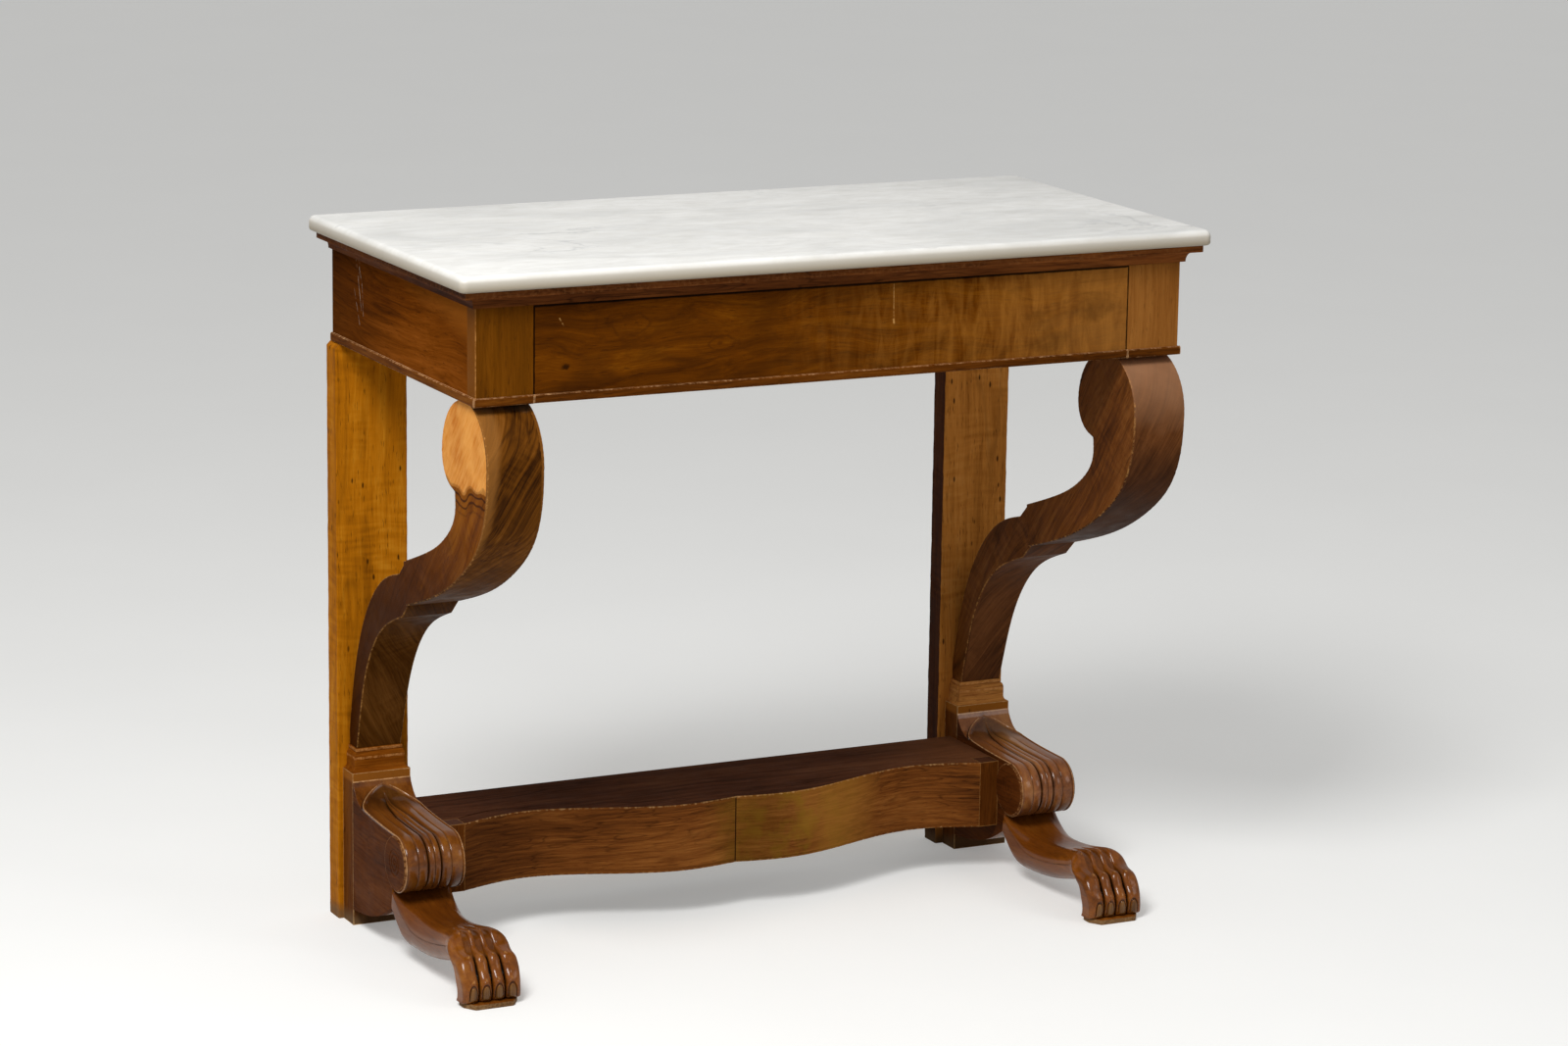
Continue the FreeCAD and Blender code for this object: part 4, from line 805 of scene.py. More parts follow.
def sapwood_head(tree, place, own, colour):
    """The leg's head is pale orange sapwood. Dark wavy lines mark where the heartwood starts, and
    below them the side is painted darker towards the bottom, as painted shade."""
    height = split(tree, place)[2]
    swing = scaled_sum(tree, noise(tree, place, 19.0, 2.0, 0.5, 0.6), 40 * MM, height)
    above = calc(tree, "SUBTRACT", swing, SAP_LINE + 20 * MM)
    lines = spread(tree, calc(tree, "SINE", times(tree, above, 620.0)), 0.25, 0.95)
    off_line = calc(tree, "ABSOLUTE", calc(tree, "ADD", above, 12 * MM))
    near = spread(tree, off_line, 4 * MM, 22 * MM, 1.0, 0.0)
    grain = noise(tree, stretched(tree, own, 0.12), 260.0, 4.0, 0.6)
    pale = stain(tree, tint("bc6a1c"), patches(tree, place, 24.0, 3.0, 0.35, 0.65), "dc9242")
    pale = stain(tree, pale, spread(tree, grain, 0.35, 0.75, 0.0, 0.5), "ecb468")
    # Painted shade: darker towards the bottom.
    colour = stain(tree, colour, spread(tree, height, 420 * MM, 600 * MM, 0.86, 0.1), "2a1205")
    colour = blend(tree, spread(tree, above, -1 * MM, 2 * MM), colour, pale)
    return stain(tree, colour, times(tree, lines, near), "2a1004", 0.85)


def tan_band(tree, place, own, colour):
    """A tan stripe of sapwood down the outer side of the face, narrowing away below the head,
    grey dust on the very top, and painted shade below the swell."""
    flat = split(tree, add(tree, "UVMap", uv_map="grain").outputs[0])
    inward = calc(tree, "ADD", flat[1], 2 * SCROLL_HALF)
    narrow = scaled_sum(tree, flat[0], TAN_WIDTH / TAN_LENGTH, inward)
    edge = uneven(tree, narrow, place, 26.0, 3.0, 8 * MM)
    inside = times(tree, spread(tree, edge, TAN_WIDTH, TAN_WIDTH + 8 * MM, 1.0, 0.0),
                   spread(tree, inward, -2 * MM, -1 * MM))
    colour = stain(tree, colour, inside, "8c5c2a", 0.6)
    height = split(tree, place)[2]
    dust = spread(tree, uneven(tree, height, place, 50.0, 3.0, 30 * MM), 722 * MM, 736 * MM)
    colour = stain(tree, colour, dust, "806c58", 0.55)
    # Painted shade: darker below the swell.
    return stain(tree, colour, spread(tree, height, 470 * MM, 570 * MM, 0.6, 0.0), "221003")


def head_sheen_and_shade(tree, place, own, colour):
    """The face is paler at the head, a painted sheen, and dark under the swell, painted shade."""
    height = uneven(tree, split(tree, place)[2], place, 14.0, 3.0, 80 * MM)
    # Painted sheen on the head, and painted shade under the swell.
    colour = stain(tree, colour, spread(tree, height, 665 * MM, 755 * MM, 0.0, 0.75), "a07454")
    swell = times(tree, spread(tree, height, 580 * MM, 660 * MM, 0.7, 0.0),
                  spread(tree, height, 470 * MM, 510 * MM, 0.25, 1.0))
    return stain(tree, colour, swell, "22130c")


for side, name in SIDES:
    along = np.arange(len(scroll_front)) * 0.01
    ease = 1.1 * MM * (1 + 0.7 * wander(along * 6, 3 + side))
    upper, upper_flow = sleeve(scroll_front, scroll_back, SCROLL_HALF, ease, leg_columns)
    lower, lower_flow = sleeve(shank_front, shank_back, taper, 1.0 * MM, leg_columns)
    upper_flow = upper_flow * (1, side)
    front_wood = wood("scroll_veneer_" + name, FRONT_SHADES[side], (0, 0, -0.5), (0.3 * side, 0.02, 0),
                      coords="UV", bands=30, warp=0.05, veins=0.7 if side < 0 else 0.3, ripple=0.15,
                      shine=0.02, worn=0.6, extra=tan_band if side < 0 else head_sheen_and_shade)
    side_wood = wood("scroll_side_" + name, SIDE_SHADES[side], (0, 0.9, math.pi / 2), (0.1 * side, 0, 0),
                     bands=18, warp=0.06, veins=0.5, ripple=0.2, worn=0.8, pale="d09a58",
                     extra=sapwood_head if side < 0 else None)
    zones = (leg_columns[5] % 2).astype(int)
    worn = leg_columns[4] * (0.85 + 0.15 * wander(along * 5, 8)[:, None])
    make_piece("scroll_" + name,
               [sheet(placed(upper, side, LEG_X), flow=upper_flow, worn=worn, zones=zones),
                sheet(placed(lower, side, LEG_X), flow=lower_flow, worn=leg_columns[4] * 0.9, zones=zones)],
               [front_wood, side_wood], instead=["scroll_leg_" + name])

# ------------------------------------------------------------------ base mouldings and plinths
# A moulded walnut collar wraps the foot of each shank on three sides. It stands on a plain
# block that carries post, volute and shelf.
BASE_FRONT_LINE = CASE_FRONT + 431.5 * MM
# The right collar's tones are lighter: partly its own wood, partly painted highlight.
BASE_SHADES = {-1: ("421d03", "6e3807", "8e5214"), 1: ("7c4820", "ae7438", "ca8e4e")}
# Half widths and heights of the collar's section in millimetres, from its top to its foot.
COLLAR_BAND = [(29.4, 221), (30, 220.4), (30, 217), (29.6, 216.3)]
OVOLO_CENTRE = (29, 209)
OVOLO_SIZE = (3.6, 7)
COLLAR_FLAT = [(32.6, 208.4), (32.6, 199.6)]
COVE_START = (32.6, 199)
COVE_SIZE = (4.9, -7)
COLLAR_EDGE = [(37.5, 192)]
ARRIS_ROWS = (1, 2, 11, 12, 13)


def base_profile():
    """Half width and height down the collar: a band, a small ovolo, a flat and a hollow."""
    turn = np.radians(np.linspace(0, 90, 9))
    ovolo = OVOLO_CENTRE + np.stack([np.sin(turn), np.cos(turn)], -1) * OVOLO_SIZE
    hollow = COVE_START + np.stack([1 - np.cos(turn), np.sin(turn)], -1) * COVE_SIZE
    return np.vstack([COLLAR_BAND, ovolo, COLLAR_FLAT, hollow, COLLAR_EDGE]) * MM


def plinth_marks(tree, place, own, colour):
    """The strip of the block between collar and leaf is as light as the collar."""
    strip = spread(tree, split(tree, place)[2], 179 * MM, 183 * MM, 0.0, 0.85)
    return post_marks(tree, place, own, stain(tree, colour, strip, "8a521a"))


profile = base_profile()
for side, name in SIDES:
    rings = []
    for half, z in profile:
        front = BASE_FRONT_LINE - half
        ring = rounded([(-half, POST_FACE), (-half, front), (half, front), (half, POST_FACE)],
                       [0.1 * MM, 0.8 * MM, 0.8 * MM, 0.1 * MM])
        rings.append(np.column_stack([ring, np.full(len(ring), z)]))
    collar = placed(np.array(rings), side, LEG_X)
    base_wood = wood("base_walnut_" + name, BASE_SHADES[side], shift=(0, 0.1 * side, 0), bands=40,
                     veins=0.35, worn=0.6, pale="c48a50")
    arris = 0.95 * np.isin(np.arange(len(profile)), ARRIS_ROWS)[:, None]
    make_piece("base_" + name, [sheet(collar, worn=arris)], [base_wood],
               instead=["base_moulding_" + name])
    block = "plinth_block_" + name
    dress(block, wood("plinth_walnut_" + name, ("46230a", "5c300c", "704014"), UPRIGHT, (0.1, 0.2 * side, 0),
                      bands=30, box=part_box(block), edge=0.7, pale="c09a68", extra=plinth_marks))

# ------------------------------------------------------------------ volutes
# One block a side, carved from the solid: a pointed leaf under the collar swells forward into
# reeds that wrap a rolled end, with a spiral cut in both cheeks. The grooves are darkened, partly
# with wax and dirt and partly with painted shade.
VOLUTE_HALF = 37.5 * MM
PLINTH_FACE = CASE_FRONT + 394 * MM
ROLL_RADIUS = 35 * MM
roll_centre = np.array([CASE_FRONT + 250 * MM, 118 * MM])
crest = roll_centre + (0, ROLL_RADIUS)
tongue_tip = np.array([PLINTH_FACE, 182 * MM])
heel_point = np.array([PLINTH_FACE, 20 * MM])
arch_point = np.array([CASE_FRONT + 267 * MM, 58 * MM])
PAIR_HALF = 8.2
INNER_EDGE = 21.0
OUTER_EDGE = 35.8
LEAF_LENGTH = 50.0
LEAF_APEX = 5.0
PAIR_START = 14.0
DEEP = 4.8
SHALLOW = 1.7
# A distance down the tongue, in millimetres, by which the reeds have their full depth.
FULL_REEDS = 200.0


def eased_step(value, low, high):
    """A smooth climb from nought to one between two values: three times the square of the share
    less twice its cube."""
    share = np.clip((value - low) / (high - low), 0, 1)
    return share * share * (3 - 2 * share)


def crown(x, start, end, drop_in, drop_out):
    """Depth under a rounded reed between two lines: nought at its crown, and falling to the two
    drops at its edges as a circle does."""
    half = np.maximum((end - start) / 2, 1e-4)
    off = np.clip((x - (start + end) / 2) / half, -1, 1)
    fall = 1 - np.sqrt(1 - off ** 2)
    return np.where(off < 0, drop_in, drop_out) * fall


def reed_depth(s, x):
    """How deep the carving lies, in millimetres, from the distance down the tongue and the
    distance from the middle. Two thin reeds part below the leaf's point, a reed and a broader
    reed lie each side of them, and a bead runs down the arris. Near the top all of them draw in
    to the leaf's lip, a pointed arch, and the facets outside it are cut back flat."""
    share = np.clip((s - LEAF_APEX) / (LEAF_LENGTH - LEAF_APEX), 0, 1)
    edge = np.where(s > LEAF_APEX, VOLUTE_HALF / MM * (1 - (1 - share) ** 2) ** 0.75, -2.0)
    drawn = edge / (VOLUTE_HALF / MM)
    x = np.abs(x)
    down = np.clip(s - PAIR_START, 0, None)
    pair = PAIR_HALF * np.clip(down / 66, 0, 1) ** 0.9 + 0.05
    deep = DEEP * np.clip(down / 44, 0, 1) ** 0.7
    shallow = SHALLOW * eased_step(s, 30, 90)
    inner, outer = np.maximum(INNER_EDGE * drawn, pair + 0.1), np.maximum(OUTER_EDGE * drawn, pair + 0.2)
    dish = 2.2 * (1 - eased_step(s, 25, 70)) * eased_step(edge - x, 0.7, 6)
    crest = (1 - eased_step(s, 40, 75)) * 1.2 * np.exp(-((x - pair) / 1.0) ** 2) * (down > 0)
    depth = np.where(x < pair, crown(x, 0, pair, 0.35 * deep, deep), crown(x, pair, inner, deep, shallow))
    depth = np.where(x > inner, crown(x, inner, outer, shallow, 1.8), depth)
    depth = np.where(x > outer, crown(x, outer, np.maximum(edge, outer + 0.1), 1.8, 0.6), depth)
    depth = depth + dish - 0.5 * crest
    cut = (1 - eased_step(s, 36, 50)) * 0.9 * np.exp(-((x - edge - 1.2) / 0.9) ** 2) * (s > LEAF_APEX)
    facet = 2.6 * eased_step(x - edge, 0, 1.4) * eased_step(s, 0, 5) + cut
    return np.where(x > edge, facet, depth), edge


def carving(s, x):
    """The relief in metres, and the wear: darkening in the deep grooves and outside the leaf's lip,
    partly dirt and partly painted shade, and pale wood on the lip, the arris bead and the upper edge."""
    depth, edge = reed_depth(s, x / MM)
    out = np.abs(x) / MM - edge
    # The deep grooves and the cut outside the lip are darkened: partly wax and dirt, partly painted shade.
    groove = 0.95 * np.clip((depth - 0.5) / 3.2, 0, 1) ** 0.8 * (out < -2.5)
    lip_cut = 0.75 * np.exp(-((out - 1.2) / 1.0) ** 2) * (s < 48)
    worn = ((np.abs(out + 0.6) < 0.8) | (s < 1.7)) * 1.0
    return depth * MM, np.where(worn > 0, worn, -np.maximum(groove, lip_cut))


SPIRAL_PITCH = 6.4
SPIRAL_REACH = 20.0


def spiral_depth(r, turn):
    """A groove cut along a spiral on the cheek, its radius growing by one pitch a turn, and a
    sunk eye at its middle."""
    arm = (r / MM - 3.0) / SPIRAL_PITCH - turn / (2 * math.pi)
    off = (arm - np.round(arm)) * SPIRAL_PITCH
    fade = eased_step(r / MM, 2.0, 4.0) * (1 - eased_step(r / MM, SPIRAL_REACH - 5, SPIRAL_REACH))
    return (0.9 * np.exp(-(off / 0.8) ** 2) * fade + 1.2 * np.exp(-(r / MM / 1.8) ** 2)) * MM


LEAF_ROWS = 90
REED_ROWS = 60
row_share = np.concatenate([np.linspace(0, 0.34, LEAF_ROWS)[:-1], np.linspace(0.34, 1, REED_ROWS)])


TONGUE = [tongue_tip, (CASE_FRONT + 379.6 * MM, 165.2 * MM), (CASE_FRONT + 345 * MM, 156 * MM), crest]
UNDERSIDE = [heel_point, (CASE_FRONT + 343.2 * MM, 26.8 * MM), (CASE_FRONT + 302.6 * MM, 39 * MM), arch_point]
tongue_line = at_shares(spline(TONGUE), row_share)
under_line = at_shares(spline(UNDERSIDE), row_share)
down_tongue = row_share * np.linalg.norm(np.diff(tongue_line, axis=0), axis=1).sum() / MM
volute_columns = section(np.linspace(-1, 1, 201)[1:-1], side_columns, bend=3,
                         back=np.linspace(-1, 1, 9)[1:-1])


def volute_body():
    """The tongue and the block under it, as a sleeve from the carved line to the arch."""
    ease = 0.3 * MM
    x = volute_columns[0] * VOLUTE_HALF + volute_columns[1] * ease
    relief, worn = carving(down_tongue[:, None], x[None])
    on_front = volute_columns[2] < 0.01
    points, flow = sleeve(tongue_line, under_line, VOLUTE_HALF, ease, volute_columns,
                          np.where(on_front, relief, 0))
    return points, flow, np.where(on_front, worn, 0), (volute_columns[5] % 2).astype(int)


def roll():
    """The rolled end: its rim carries the reeds round, and each cheek is a shallow boss with the
    spiral. Rows run from the left pole across the rim to the right pole."""
    turn = np.radians(90 + np.linspace(0, 360, 145)[:-1])[None]
    all_round = 0 * turn
    r = np.linspace(0, ROLL_RADIUS - 1.0 * MM, 48)[:, None]
    across = np.linspace(-VOLUTE_HALF, VOLUTE_HALF, 201)[1:-1, None]
    relief, worn = carving(np.full((1, 1), FULL_REEDS), across)
    boss = 1.8 * MM * (1 - eased_step(r, ROLL_RADIUS - 2.6 * MM, ROLL_RADIUS - 1 * MM))
    cut = spiral_depth(r, turn)
    cheek = VOLUTE_HALF + boss - cut
    rim = ROLL_RADIUS - relief + all_round
    radius = np.concatenate([r + all_round, rim, (r + all_round)[::-1]])
    x = np.concatenate([-cheek, across + all_round, cheek[::-1]])
    points = grid(x, roll_centre[0] + radius * np.cos(turn), roll_centre[1] + radius * np.sin(turn))
    rim_line = 0.9 * (r > ROLL_RADIUS - 3.2 * MM)
    # The spiral groove is darkened a little: partly dirt, partly painted shade.
    cheek_worn = rim_line - 0.12 * cut / MM * (rim_line == 0)
    # Painted shade: the underside of the roll is darkened.
    under = 0.45 * eased_step(-np.sin(turn), 0.1, 0.9)
    worn = worn + all_round
    worn = np.where(worn > 0, worn, np.minimum(worn, -under))
    worn = np.concatenate([cheek_worn, worn, cheek_worn[::-1]])
    zones = np.repeat([1, 0, 1], [len(r), len(across), len(r)])[:, None]
    return points, worn, zones


volute_points, volute_flow, volute_worn, volute_zones = volute_body()
roll_points, roll_worn, roll_zones = roll()
# The right volute's tones are lighter: partly its own wood, partly painted highlight on its reeds.
CARVED_SHADES = {-1: ("3c1c08", "68380e", "84501a"), 1: ("50290e", "804c26", "a06c38")}
CHEEK_SHADES = ("2e1405", "50280d", "663816")
for side, name in SIDES:
    carved = wood("carved_walnut_" + name, CARVED_SHADES[side], ALONG_DEPTH, (0, 0.1 * side, 0), bands=20,
                  veins=0.15, fibre=0.06, flecks=0.15, rough=0.36, shine=0.02, coat=0.5, worn=0.7,
                  pale="c49460")
    cheek = wood("cheek_walnut_" + name, CHEEK_SHADES, ALONG_DEPTH, (0, 0.1 * side, 0), bands=30, veins=0.4,
                 worn=0.6, pale="b08050")
    body_part = sheet(placed(volute_points, side, LEG_X), flow=volute_flow, worn=volute_worn,
                      zones=volute_zones)
    roll_part = sheet(placed(roll_points, side, LEG_X), caps=False, worn=roll_worn, zones=roll_zones)
    make_piece("volute_carved_" + name, [body_part, roll_part], [carved, cheek],
               instead=["volute_" + name], crease=50)

# ------------------------------------------------------------------ paw feet
# Ankle and lion paw, carved in one from walnut: four toes with two knuckles and a claw each,
# over a thin pad with cut corners. The clefts are darkened, partly with dirt and partly with
# painted shade, and the ridges are polished by wear.
INSTEP = [(267, 83), (250, 75), (205, 66), (150, 67.5), (107, 75)]
KNUCKLES = [(107, 75), (92, 73.8), (78, 62.6), (58, 56.6), (44, 43.5), (36.8, 26), (36.2, 13), (38.2, 8),
            (42, 6)]
BELLY = [(267, 58), (256, 44), (237, 24), (210, 19), (169.7, 22.5), (88, 43)]
HEEL = [(88, 43), (74, 42.8), (65, 27), (63, 6)]
# Distance behind the front of the case and half width of the paw, in millimetres.
PLAN_HALF = [(36, 36.2), (44, 37.8), (60, 38.4), (89, 38.2), (99, 35.2), (125, 34.0), (160, 34.3),
             (215, 35.4), (267, 37.5)]
ANKLE_ROWS = 70
TOE_ROWS = 190


def from_case(points):
    """Places in the side view, in millimetres from the front of the case and from the floor."""
    return np.array(points) * MM + (CASE_FRONT, 0)


def outline(ankle, toe):
    """The side outline of ankle and toes, each in equal steps."""
    ankle_line = even(spline(from_case(ankle)), ANKLE_ROWS)
    return np.vstack([ankle_line[:-1], even(spline(from_case(toe)), TOE_ROWS)])


paw_front = outline(INSTEP, KNUCKLES)
paw_back = outline(BELLY, HEEL)
paw_columns = section(np.linspace(-1, 1, 221)[1:-1], side_columns, bend=7, back=np.linspace(-1, 1, 15)[1:-1])
down_paw = lengths(paw_front) / MM
down_paw -= down_paw[ANKLE_ROWS - 1]
CLAW_MIDDLE = 101.0
CLAW_HALF = 8.0
CLAW_WIDE = 4.2
# Each table: distances down the paw, and at each the toes' pitch, the share of it that a toe fills,
# the depth of the clefts, and the rounding of the sides.
TOE_PITCH = ([-46, 0, 30, 60, 110], [11.0, 12.3, 14.4, 15.8, 16.4])
TOE_SHARE = ([-20, 0, 10, 24, 38, 50, 60, 75, 88, 114],
             [0.85, 0.62, 0.54, 0.48, 0.60, 0.86, 0.97, 0.88, 0.98, 0.96])
TOE_DEPTH = ([-24, -10, 2, 14, 30, 44, 56, 76, 95, 114], [0, 1.8, 4.4, 5.8, 6.4, 6.6, 7.0, 7.2, 7.0, 5.6])
PAW_EASE = ([-165, -145, -105, -55, -12, 10, 70, 114], [2, 8, 20, 22, 20, 14, 7.5, 5])
# Each swell: its place down the paw, its width and how far it stands out.
KNUCKLE_SWELL = ((12, 8, 1.3), (34, 8, -1.2), (56, 7, 2.0), (73, 7, -1.6), (88, 6, 1.2))


def toes(q, x):
    """How deep the carving lies, in millimetres, from the distance q down the front of the paw
    (nought at the upper knuckles) and the distance from the middle. Each toe is half a circle
    across a share of its pitch, with a flat hollow between it and the next. A claw is half an
    ellipse that stands out of the toe, with a cut round it and a fold of skin over it. The
    knuckles are rubbed pale."""
    pitch = np.interp(q, *TOE_PITCH)
    place = np.abs(x) / pitch
    off = np.where(place < 2, place % 1 * 2 - 1, 1.0)
    inward = np.minimum(np.abs(off) / np.interp(q, *TOE_SHARE), 1)
    cleft = (1 - np.sqrt(1 - inward ** 2)) * np.interp(q, *TOE_DEPTH)
    flank = place > 1.5
    depth = np.where(flank, 1.4 * eased_step(place, 1.5, 2.6), cleft)
    for middle, width, height in KNUCKLE_SWELL:
        rise = height * np.exp(-((q - middle) / width) ** 2) * (1 - 0.5 * inward ** 2)
        depth = depth - np.where(flank, 0.4, 1.0) * rise
    across = off * pitch / 2 / CLAW_WIDE
    up = np.where(q < CLAW_MIDDLE, (q - CLAW_MIDDLE) / CLAW_HALF, 0)
    ring = np.where(place < 2, np.sqrt(across ** 2 + up ** 2), 9.0)
    tip = 1 - eased_step(q, 108, 111)
    near = (q > CLAW_MIDDLE - 2 * CLAW_HALF) * tip
    claw = (ring < 1) * near
    depth = depth - 1.6 * claw * np.clip(1 - ring ** 2, 0, 1) ** 0.35
    cuticle = np.exp(-((ring - 1.13) / 0.14) ** 2) * near
    depth = depth + 1.2 * cuticle
    fold = np.exp(-((ring - 1.5) / 0.2) ** 2) * near * (q < CLAW_MIDDLE)
    depth = depth - 0.8 * fold
    # The clefts and the cut round each claw are darkened: partly dirt, partly painted shade.
    dirt_and_shade = np.clip((cleft - 2.2) / 3.0, 0, 1) * (0.3 + 0.7 * eased_step(q, 36, 56)) * ~flank
    dirt_and_shade = np.maximum(dirt_and_shade, 0.25 * eased_step(q, 82, 104) * ~flank)
    dirt_and_shade = np.clip(np.maximum(dirt_and_shade, 0.8 * cuticle), 0, 1)
    crest = sum(np.exp(-((q - middle) / 7) ** 2) for middle in (14, 55, 86))
    crest = crest * (1 - inward) ** 0.5 * (place < 2)
    return depth, np.where(dirt_and_shade > 0.3, -dirt_and_shade, 0.95 * crest - dirt_and_shade), claw > 0.5


def paw():
    """Ankle and toes as one sleeve from the upper to the lower outline."""
    middle = (paw_front[:, 0] - CASE_FRONT) / MM
    ys, halves = np.array(PLAN_HALF).T
    half = np.interp(middle, ys, halves) * MM
    half = np.convolve(np.pad(half, 6, mode="edge"), np.ones(13) / 13, mode="valid")
    ease = np.interp(down_paw, *PAW_EASE) * MM
    ease = np.minimum(ease, 0.45 * np.linalg.norm(paw_back - paw_front, axis=1))
    x = half[:, None] * paw_columns[0] + ease[:, None] * paw_columns[1]
    depth, wear, claw = toes(down_paw[:, None], x / MM)
    on_front = paw_columns[2] < 0.01
    points, flow = sleeve(paw_front, paw_back, half, ease, paw_columns, np.where(on_front, depth * MM, 0))
    return points, flow, np.where(on_front, wear, 0), np.where(on_front & claw, 1, 0)


def paw_pad():
    """The thin pad under the paw, with its two front corners cut off."""
    plan = rounded([(24, 31), (34, 46), (34, 60), (-34, 60), (-34, 46), (-24, 31)], 2.0)
    middle = np.array([0, 45])
    inset, z = np.array([(0.6, 0.0), (0.1, 0.4), (0.0, 1.2), (0.0, 4.4), (0.3, 5.3), (1.2, 5.8)]).T
    rings = middle + (plan - middle) * (1 - inset / 30)[:, None, None]
    return grid(rings[..., 0] * MM, CASE_FRONT + rings[..., 1] * MM, z[:, None] * MM)


paw_points, paw_flow, paw_worn, paw_zones = paw()
PAW_SHADES = ("4c2606", "763f0d", "945a1e")
CLAW_SHADES = ("44280f", "69431c", "8a6130")
PAD_SHADES = ("3a2414", "74522e", "a08058")


def darker_ankle(tree, place, own, colour):
    """The ankle is a shade darker and redder than the toes, which hands and feet have rubbed."""
    ankle = spread(tree, split(tree, place)[1], CASE_FRONT + 100 * MM, CASE_FRONT + 170 * MM, 0.0, 0.4)
    return stain(tree, colour, ankle, "4a2006")


for side, name in SIDES:
    paw_wood = wood("paw_walnut_" + name, PAW_SHADES, ALONG_DEPTH, (0.1, 0.1 * side, 0), bands=20, veins=0.2,
                    fibre=0.12, flecks=0.35, rough=0.36, shine=0.02, coat=0.5, worn=0.7, extra=darker_ankle)
    claw_wood = wood("claw_walnut_" + name, CLAW_SHADES, UPRIGHT, bands=60, veins=0.2, rough=0.36, shine=0.02,
                     coat=0.5, worn=0.5)
    pad_wood = wood("pad_walnut_" + name, PAD_SHADES, ALONG_DEPTH, bands=60, rough=0.7, shine=0.15)
    parts = [sheet(placed(paw_points, side, LEG_X), flow=paw_flow, worn=paw_worn, zones=paw_zones),
             sheet(placed(paw_pad(), side, LEG_X), zones=2)]
    make_piece("paw_" + name, parts, [paw_wood, claw_wood, pad_wood],
               instead=["paw_foot_" + name], crease=60)

# ------------------------------------------------------------------ shelf
# A walnut board between the plinths. Its serpentine front is two sawn bands, veneered and
# butted at the middle, with a straight block glued at each end.
fascia_low, fascia_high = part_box("shelf_front_right")
WAVE = [(0, 262), (70.5, 253.5), (167.4, 277.75), (271.4, 302), (352.5, 281)]
FASCIA_THICK = 24 * MM
wave_line = even(spline(np.array(WAVE) * MM + (0, CASE_FRONT)), 160)
wave_back = wave_line + (0, FASCIA_THICK)
fascia_half = (fascia_high.z - fascia_low.z) / 2
fascia_columns = section(np.linspace(-1, 1, 17)[1:-1], side_columns)
SHELF_SHADES = ("2a160c", "462819", "5e3a24")
VENEER_SHADES = ("3c1e0c", "703f18", "965e2a")
# Each patch of painted shade and painted light on the right band: its middle, its half width, how much it
# covers and its colour.
VENEER_LIGHT_AND_SHADE = ((0.065, 0.06, 0.45, "4a3008"), (0.185, 0.07, 0.40, "a4702a"))


def distance_from(tree, value, middle):
    return calc(tree, "ABSOLUTE", calc(tree, "SUBTRACT", value, middle))


def olive_patch(tree, place, own, colour):
    """An olive-gold mottle near the middle joint, painted shade towards the left end, patches of
    painted shade and painted light on the right band, and a dark line of dirt in the joint."""
    across = split(tree, place)[0]
    middle = spread(tree, distance_from(tree, across, 70 * MM), 30 * MM, 120 * MM, 1.0, 0.0)
    mottle = spread(tree, noise(tree, place, 38.0, 4.0, 0.65), 0.40, 0.62)
    colour = stain(tree, colour, times(tree, middle, mottle), "7e5e18", 0.6)
    # Painted shade towards the left end.
    drift = uneven(tree, across, place, 12.0, 3.0, 80 * MM)
    colour = stain(tree, colour, spread(tree, drift, -270 * MM, -160 * MM, 0.45, 0.0), "2a1408")
    for centre, width, share, shade in VENEER_LIGHT_AND_SHADE:
        near = spread(tree, distance_from(tree, drift, centre), 0.3 * width, width, share, 0.0)
        colour = stain(tree, colour, near, shade)
    seam = spread(tree, calc(tree, "ABSOLUTE", across), 0.4 * MM, 1.2 * MM, 1.0, 0.0)
    return stain(tree, colour, seam, "120804", 0.9)


def painted_sheen_end(tree, place, own, colour):
    """Painted sheen: the shelf is a little paler towards its right end."""
    return stain(tree, colour, spread(tree, split(tree, place)[0], 0.22, 0.36, 0.0, 0.45), "7c4e30")


shelf_top_wood = wood("shelf_top_walnut", SHELF_SHADES, bands=22, veins=0.5, rough=0.65, shine=0.005,
                      extra=painted_sheen_end)
block_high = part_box("shelf_end_block_right")[1]


def dark_top(tree, place, own, colour):
    """The top of the block is as dark as the shelf."""
    top = spread(tree, split(tree, place)[2], block_high.z - 1.0 * MM, block_high.z - 0.4 * MM)
    return stain(tree, colour, top, "462819")


for side, name in SIDES:
    ease = 0.9 * MM * (1 + 0.7 * wander(wave_line[:, 0] * 8, 40 + side))
    points, flow = sleeve(wave_line, wave_back, fascia_half, ease, fascia_columns)
    points = points[..., [1, 2, 0]] + (0, 0, (fascia_low.z + fascia_high.z) / 2)
    fascia_wood = wood("shelf_veneer_" + name, VENEER_SHADES, coords="UV", shift=(0.4 * side, 0, 0), bands=56,
                       warp=0.03, veins=0.6, worn=0.5, pale="c49a66", extra=olive_patch)
    worn = fascia_columns[4] * (0.9 + 0.2 * wander(wave_line[:, 0] * 14, 44)[:, None])
    make_piece("shelf_band_" + name, [sheet(points * (side, 1, 1), flow=flow, worn=worn,
                                            zones=(fascia_columns[5] > 0).astype(int))],
               [fascia_wood, shelf_top_wood], instead=["shelf_front_" + name])
    block = "shelf_end_block_" + name
    dress(block, wood("shelf_end_" + name, ("361804", "522a0a", "683812"), UPRIGHT, bands=30,
                      box=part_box(block), edge=0.35, extra=dark_top))
dress("shelf_board", shelf_top_wood)
for node in ("shelf_back_rail", "shelf_glue_blocks"):
    dress_sawn(node)

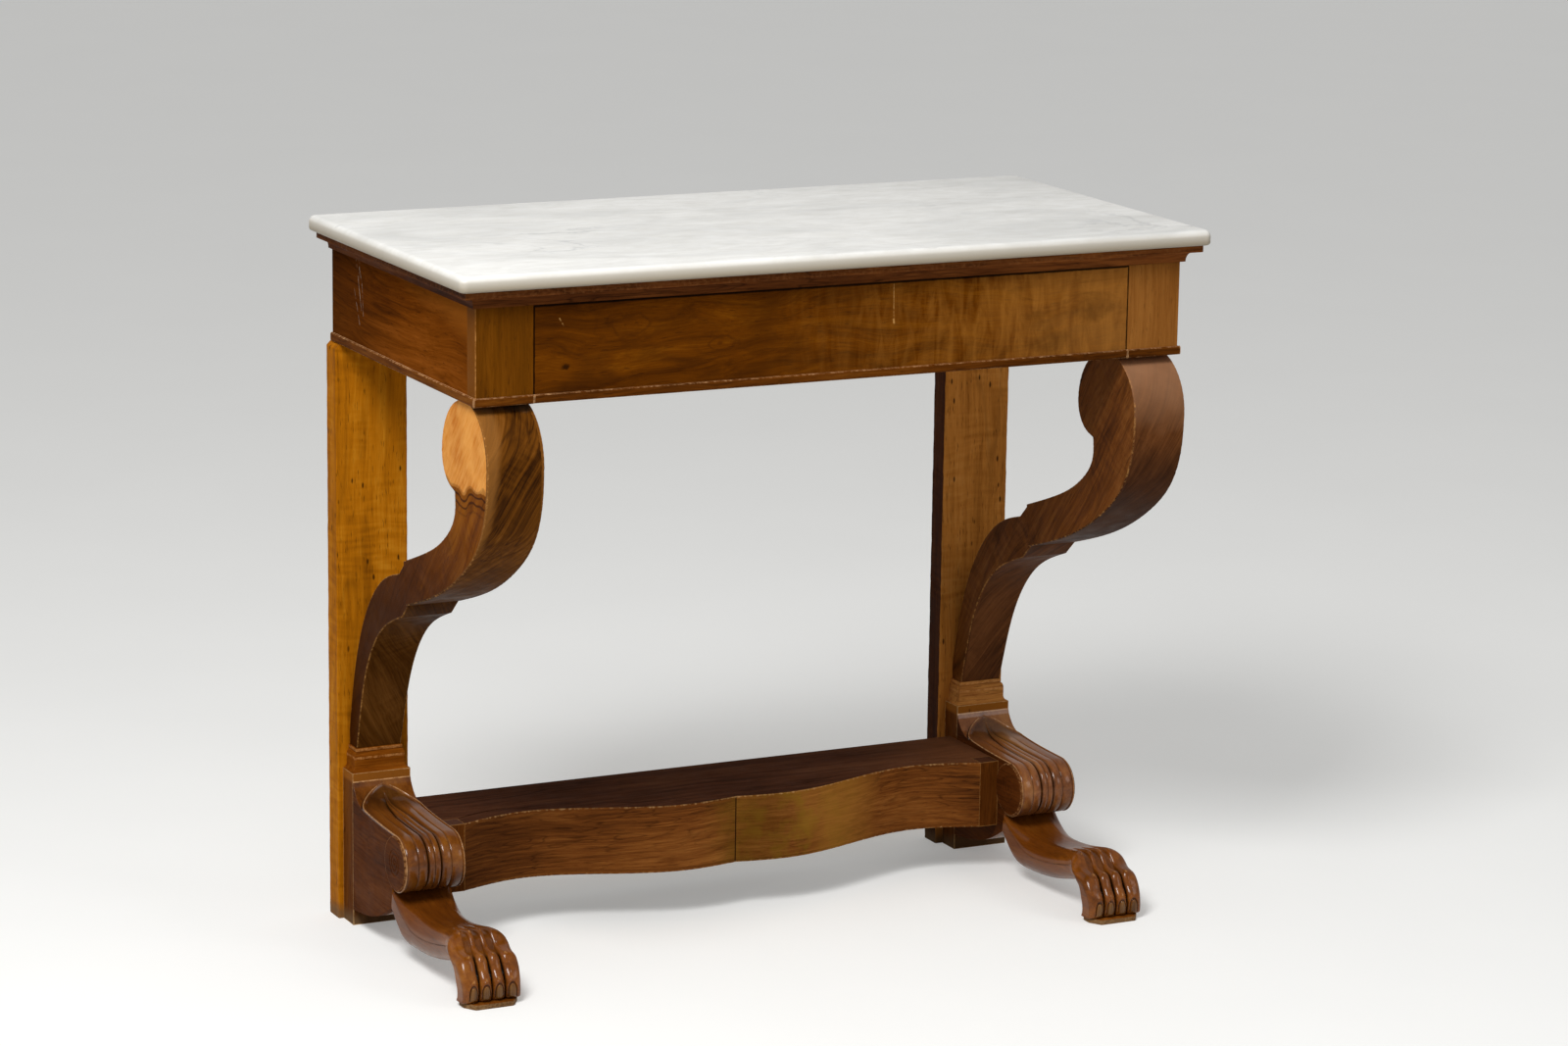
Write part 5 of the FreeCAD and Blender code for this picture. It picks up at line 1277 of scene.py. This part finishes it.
# ------------------------------------------------------------------ dowels and screws
# Beech dowels join legs and posts to the case and the shelf to the plinths. Four steel screws
# go through the posts. Only the screw heads show, from behind.
dress("dowels", wood("dowel_beech", ("b08a5c", "c8a476", "dabb90"), UPRIGHT, bands=60, veins=0.1, rough=0.6,
                     shine=0.2))
steel, tree = new_material("screw_steel")
place = add(tree, "TexCoord").outputs["Object"]
tarnish = noise(tree, place, 420.0, 4.0, 0.7)
finish_material(tree, stain(tree, tint("4c4844"), spread(tree, tarnish, 0.35, 0.65), "8e8a84"),
                spread(tree, tarnish, 0.3, 0.7, 0.3, 0.55), tarnish, 0.05 * MM, Metallic=1.0)
dress("post_screws", steel)

# ------------------------------------------------------------------ floor, light and camera
FLOOR_SIZE = 30.0
FLOOR_GLOW = 0.25
WORLD_LIGHT = 0.31


def seen_rays(tree):
    """One for rays from the camera, straight or by a mirror or glass, and nought for the rest."""
    path = add(tree, "LightPath").outputs
    bounced = calc(tree, "MAXIMUM", path["Is Glossy Ray"], path["Is Transmission Ray"])
    return calc(tree, "MAXIMUM", path["Is Camera Ray"], bounced)


def floor_material():
    """Plain pale paper with a faint mottle, a little brighter to the eye than to the light."""
    material, tree = new_material("pale_floor")
    place = add(tree, "TexCoord").outputs["Object"]
    colour = stain(tree, tint("e2e2e0"), noise(tree, place, 3.0), "e8e8e6")
    paper = add(tree, "BsdfPrincipled", {"Base Color": colour, "Roughness": 0.9})
    strength = times(tree, seen_rays(tree), FLOOR_GLOW)
    glow = add(tree, "Emission", {"Color": (1, 1, 0.98, 1), "Strength": strength})
    both = add(tree, "AddShader", {0: paper.outputs[0], 1: glow.outputs[0]})
    add(tree, "OutputMaterial", {0: both.outputs[0]})
    return material


mesh = bpy.data.meshes.new("floor")
half = FLOOR_SIZE / 2
mesh.from_pydata([(-half, -half, 0), (half, -half, 0), (half, half, 0), (-half, half, 0)], [], [(0, 1, 2, 3)])
mesh.materials.append(floor_material())
floor = bpy.data.objects.new("floor", mesh)
bpy.context.scene.collection.objects.link(floor)

world = bpy.data.worlds.new("studio")
bpy.context.scene.world = world
world.use_nodes = True
tree = world.node_tree
tree.nodes.clear()
soft = add(tree, "Background", {"Color": (1, 1, 1, 1), "Strength": WORLD_LIGHT})
seen = add(tree, "Background", {"Color": (0.53, 0.53, 0.525, 1), "Strength": 1.0})
chosen = add(tree, "MixShader", {0: seen_rays(tree), 1: soft.outputs[0], 2: seen.outputs[0]})
add(tree, "OutputWorld", {0: chosen.outputs[0]})


def lamp(name, place, target, size, power):
    light = bpy.data.lights.new(name, "AREA")
    light.size = size
    light.energy = power
    bulb = bpy.data.objects.new(name, light)
    bulb.location = place
    bulb.rotation_euler = (Vector(target) - Vector(place)).to_track_quat("-Z", "Y").to_euler()
    bpy.context.scene.collection.objects.link(bulb)


lamp("key", (-1.9, -1.7, 3.1), (0, 0, 0.5), 1.2, 116)
lamp("fill", (2.4, -3.0, 2.0), (0, 0, 0.4), 1.4, 18)

YAW = math.radians(26.10)
PITCH = math.radians(12.53)
ROLL = math.radians(0.87)
CAMERA_PLACE = (-2.3826, -4.9421, 1.7226)
CAMERA_LENS = 106.7
forward = Vector((math.sin(YAW) * math.cos(PITCH), math.cos(YAW) * math.cos(PITCH), -math.sin(PITCH)))
level = Vector((math.cos(YAW), -math.sin(YAW), 0))
above = level.cross(forward)
right = math.cos(ROLL) * level + math.sin(ROLL) * above
upward = math.cos(ROLL) * above - math.sin(ROLL) * level
camera = bpy.data.objects.new("camera", bpy.data.cameras.new("camera"))
camera.data.lens = CAMERA_LENS
camera.data.sensor_width = 36
turned = Matrix((right, upward, -forward)).transposed().to_4x4()
camera.matrix_world = Matrix.Translation(CAMERA_PLACE) @ turned
bpy.context.scene.collection.objects.link(camera)
bpy.context.scene.camera = camera
bpy.context.scene.view_settings.view_transform = "Standard"
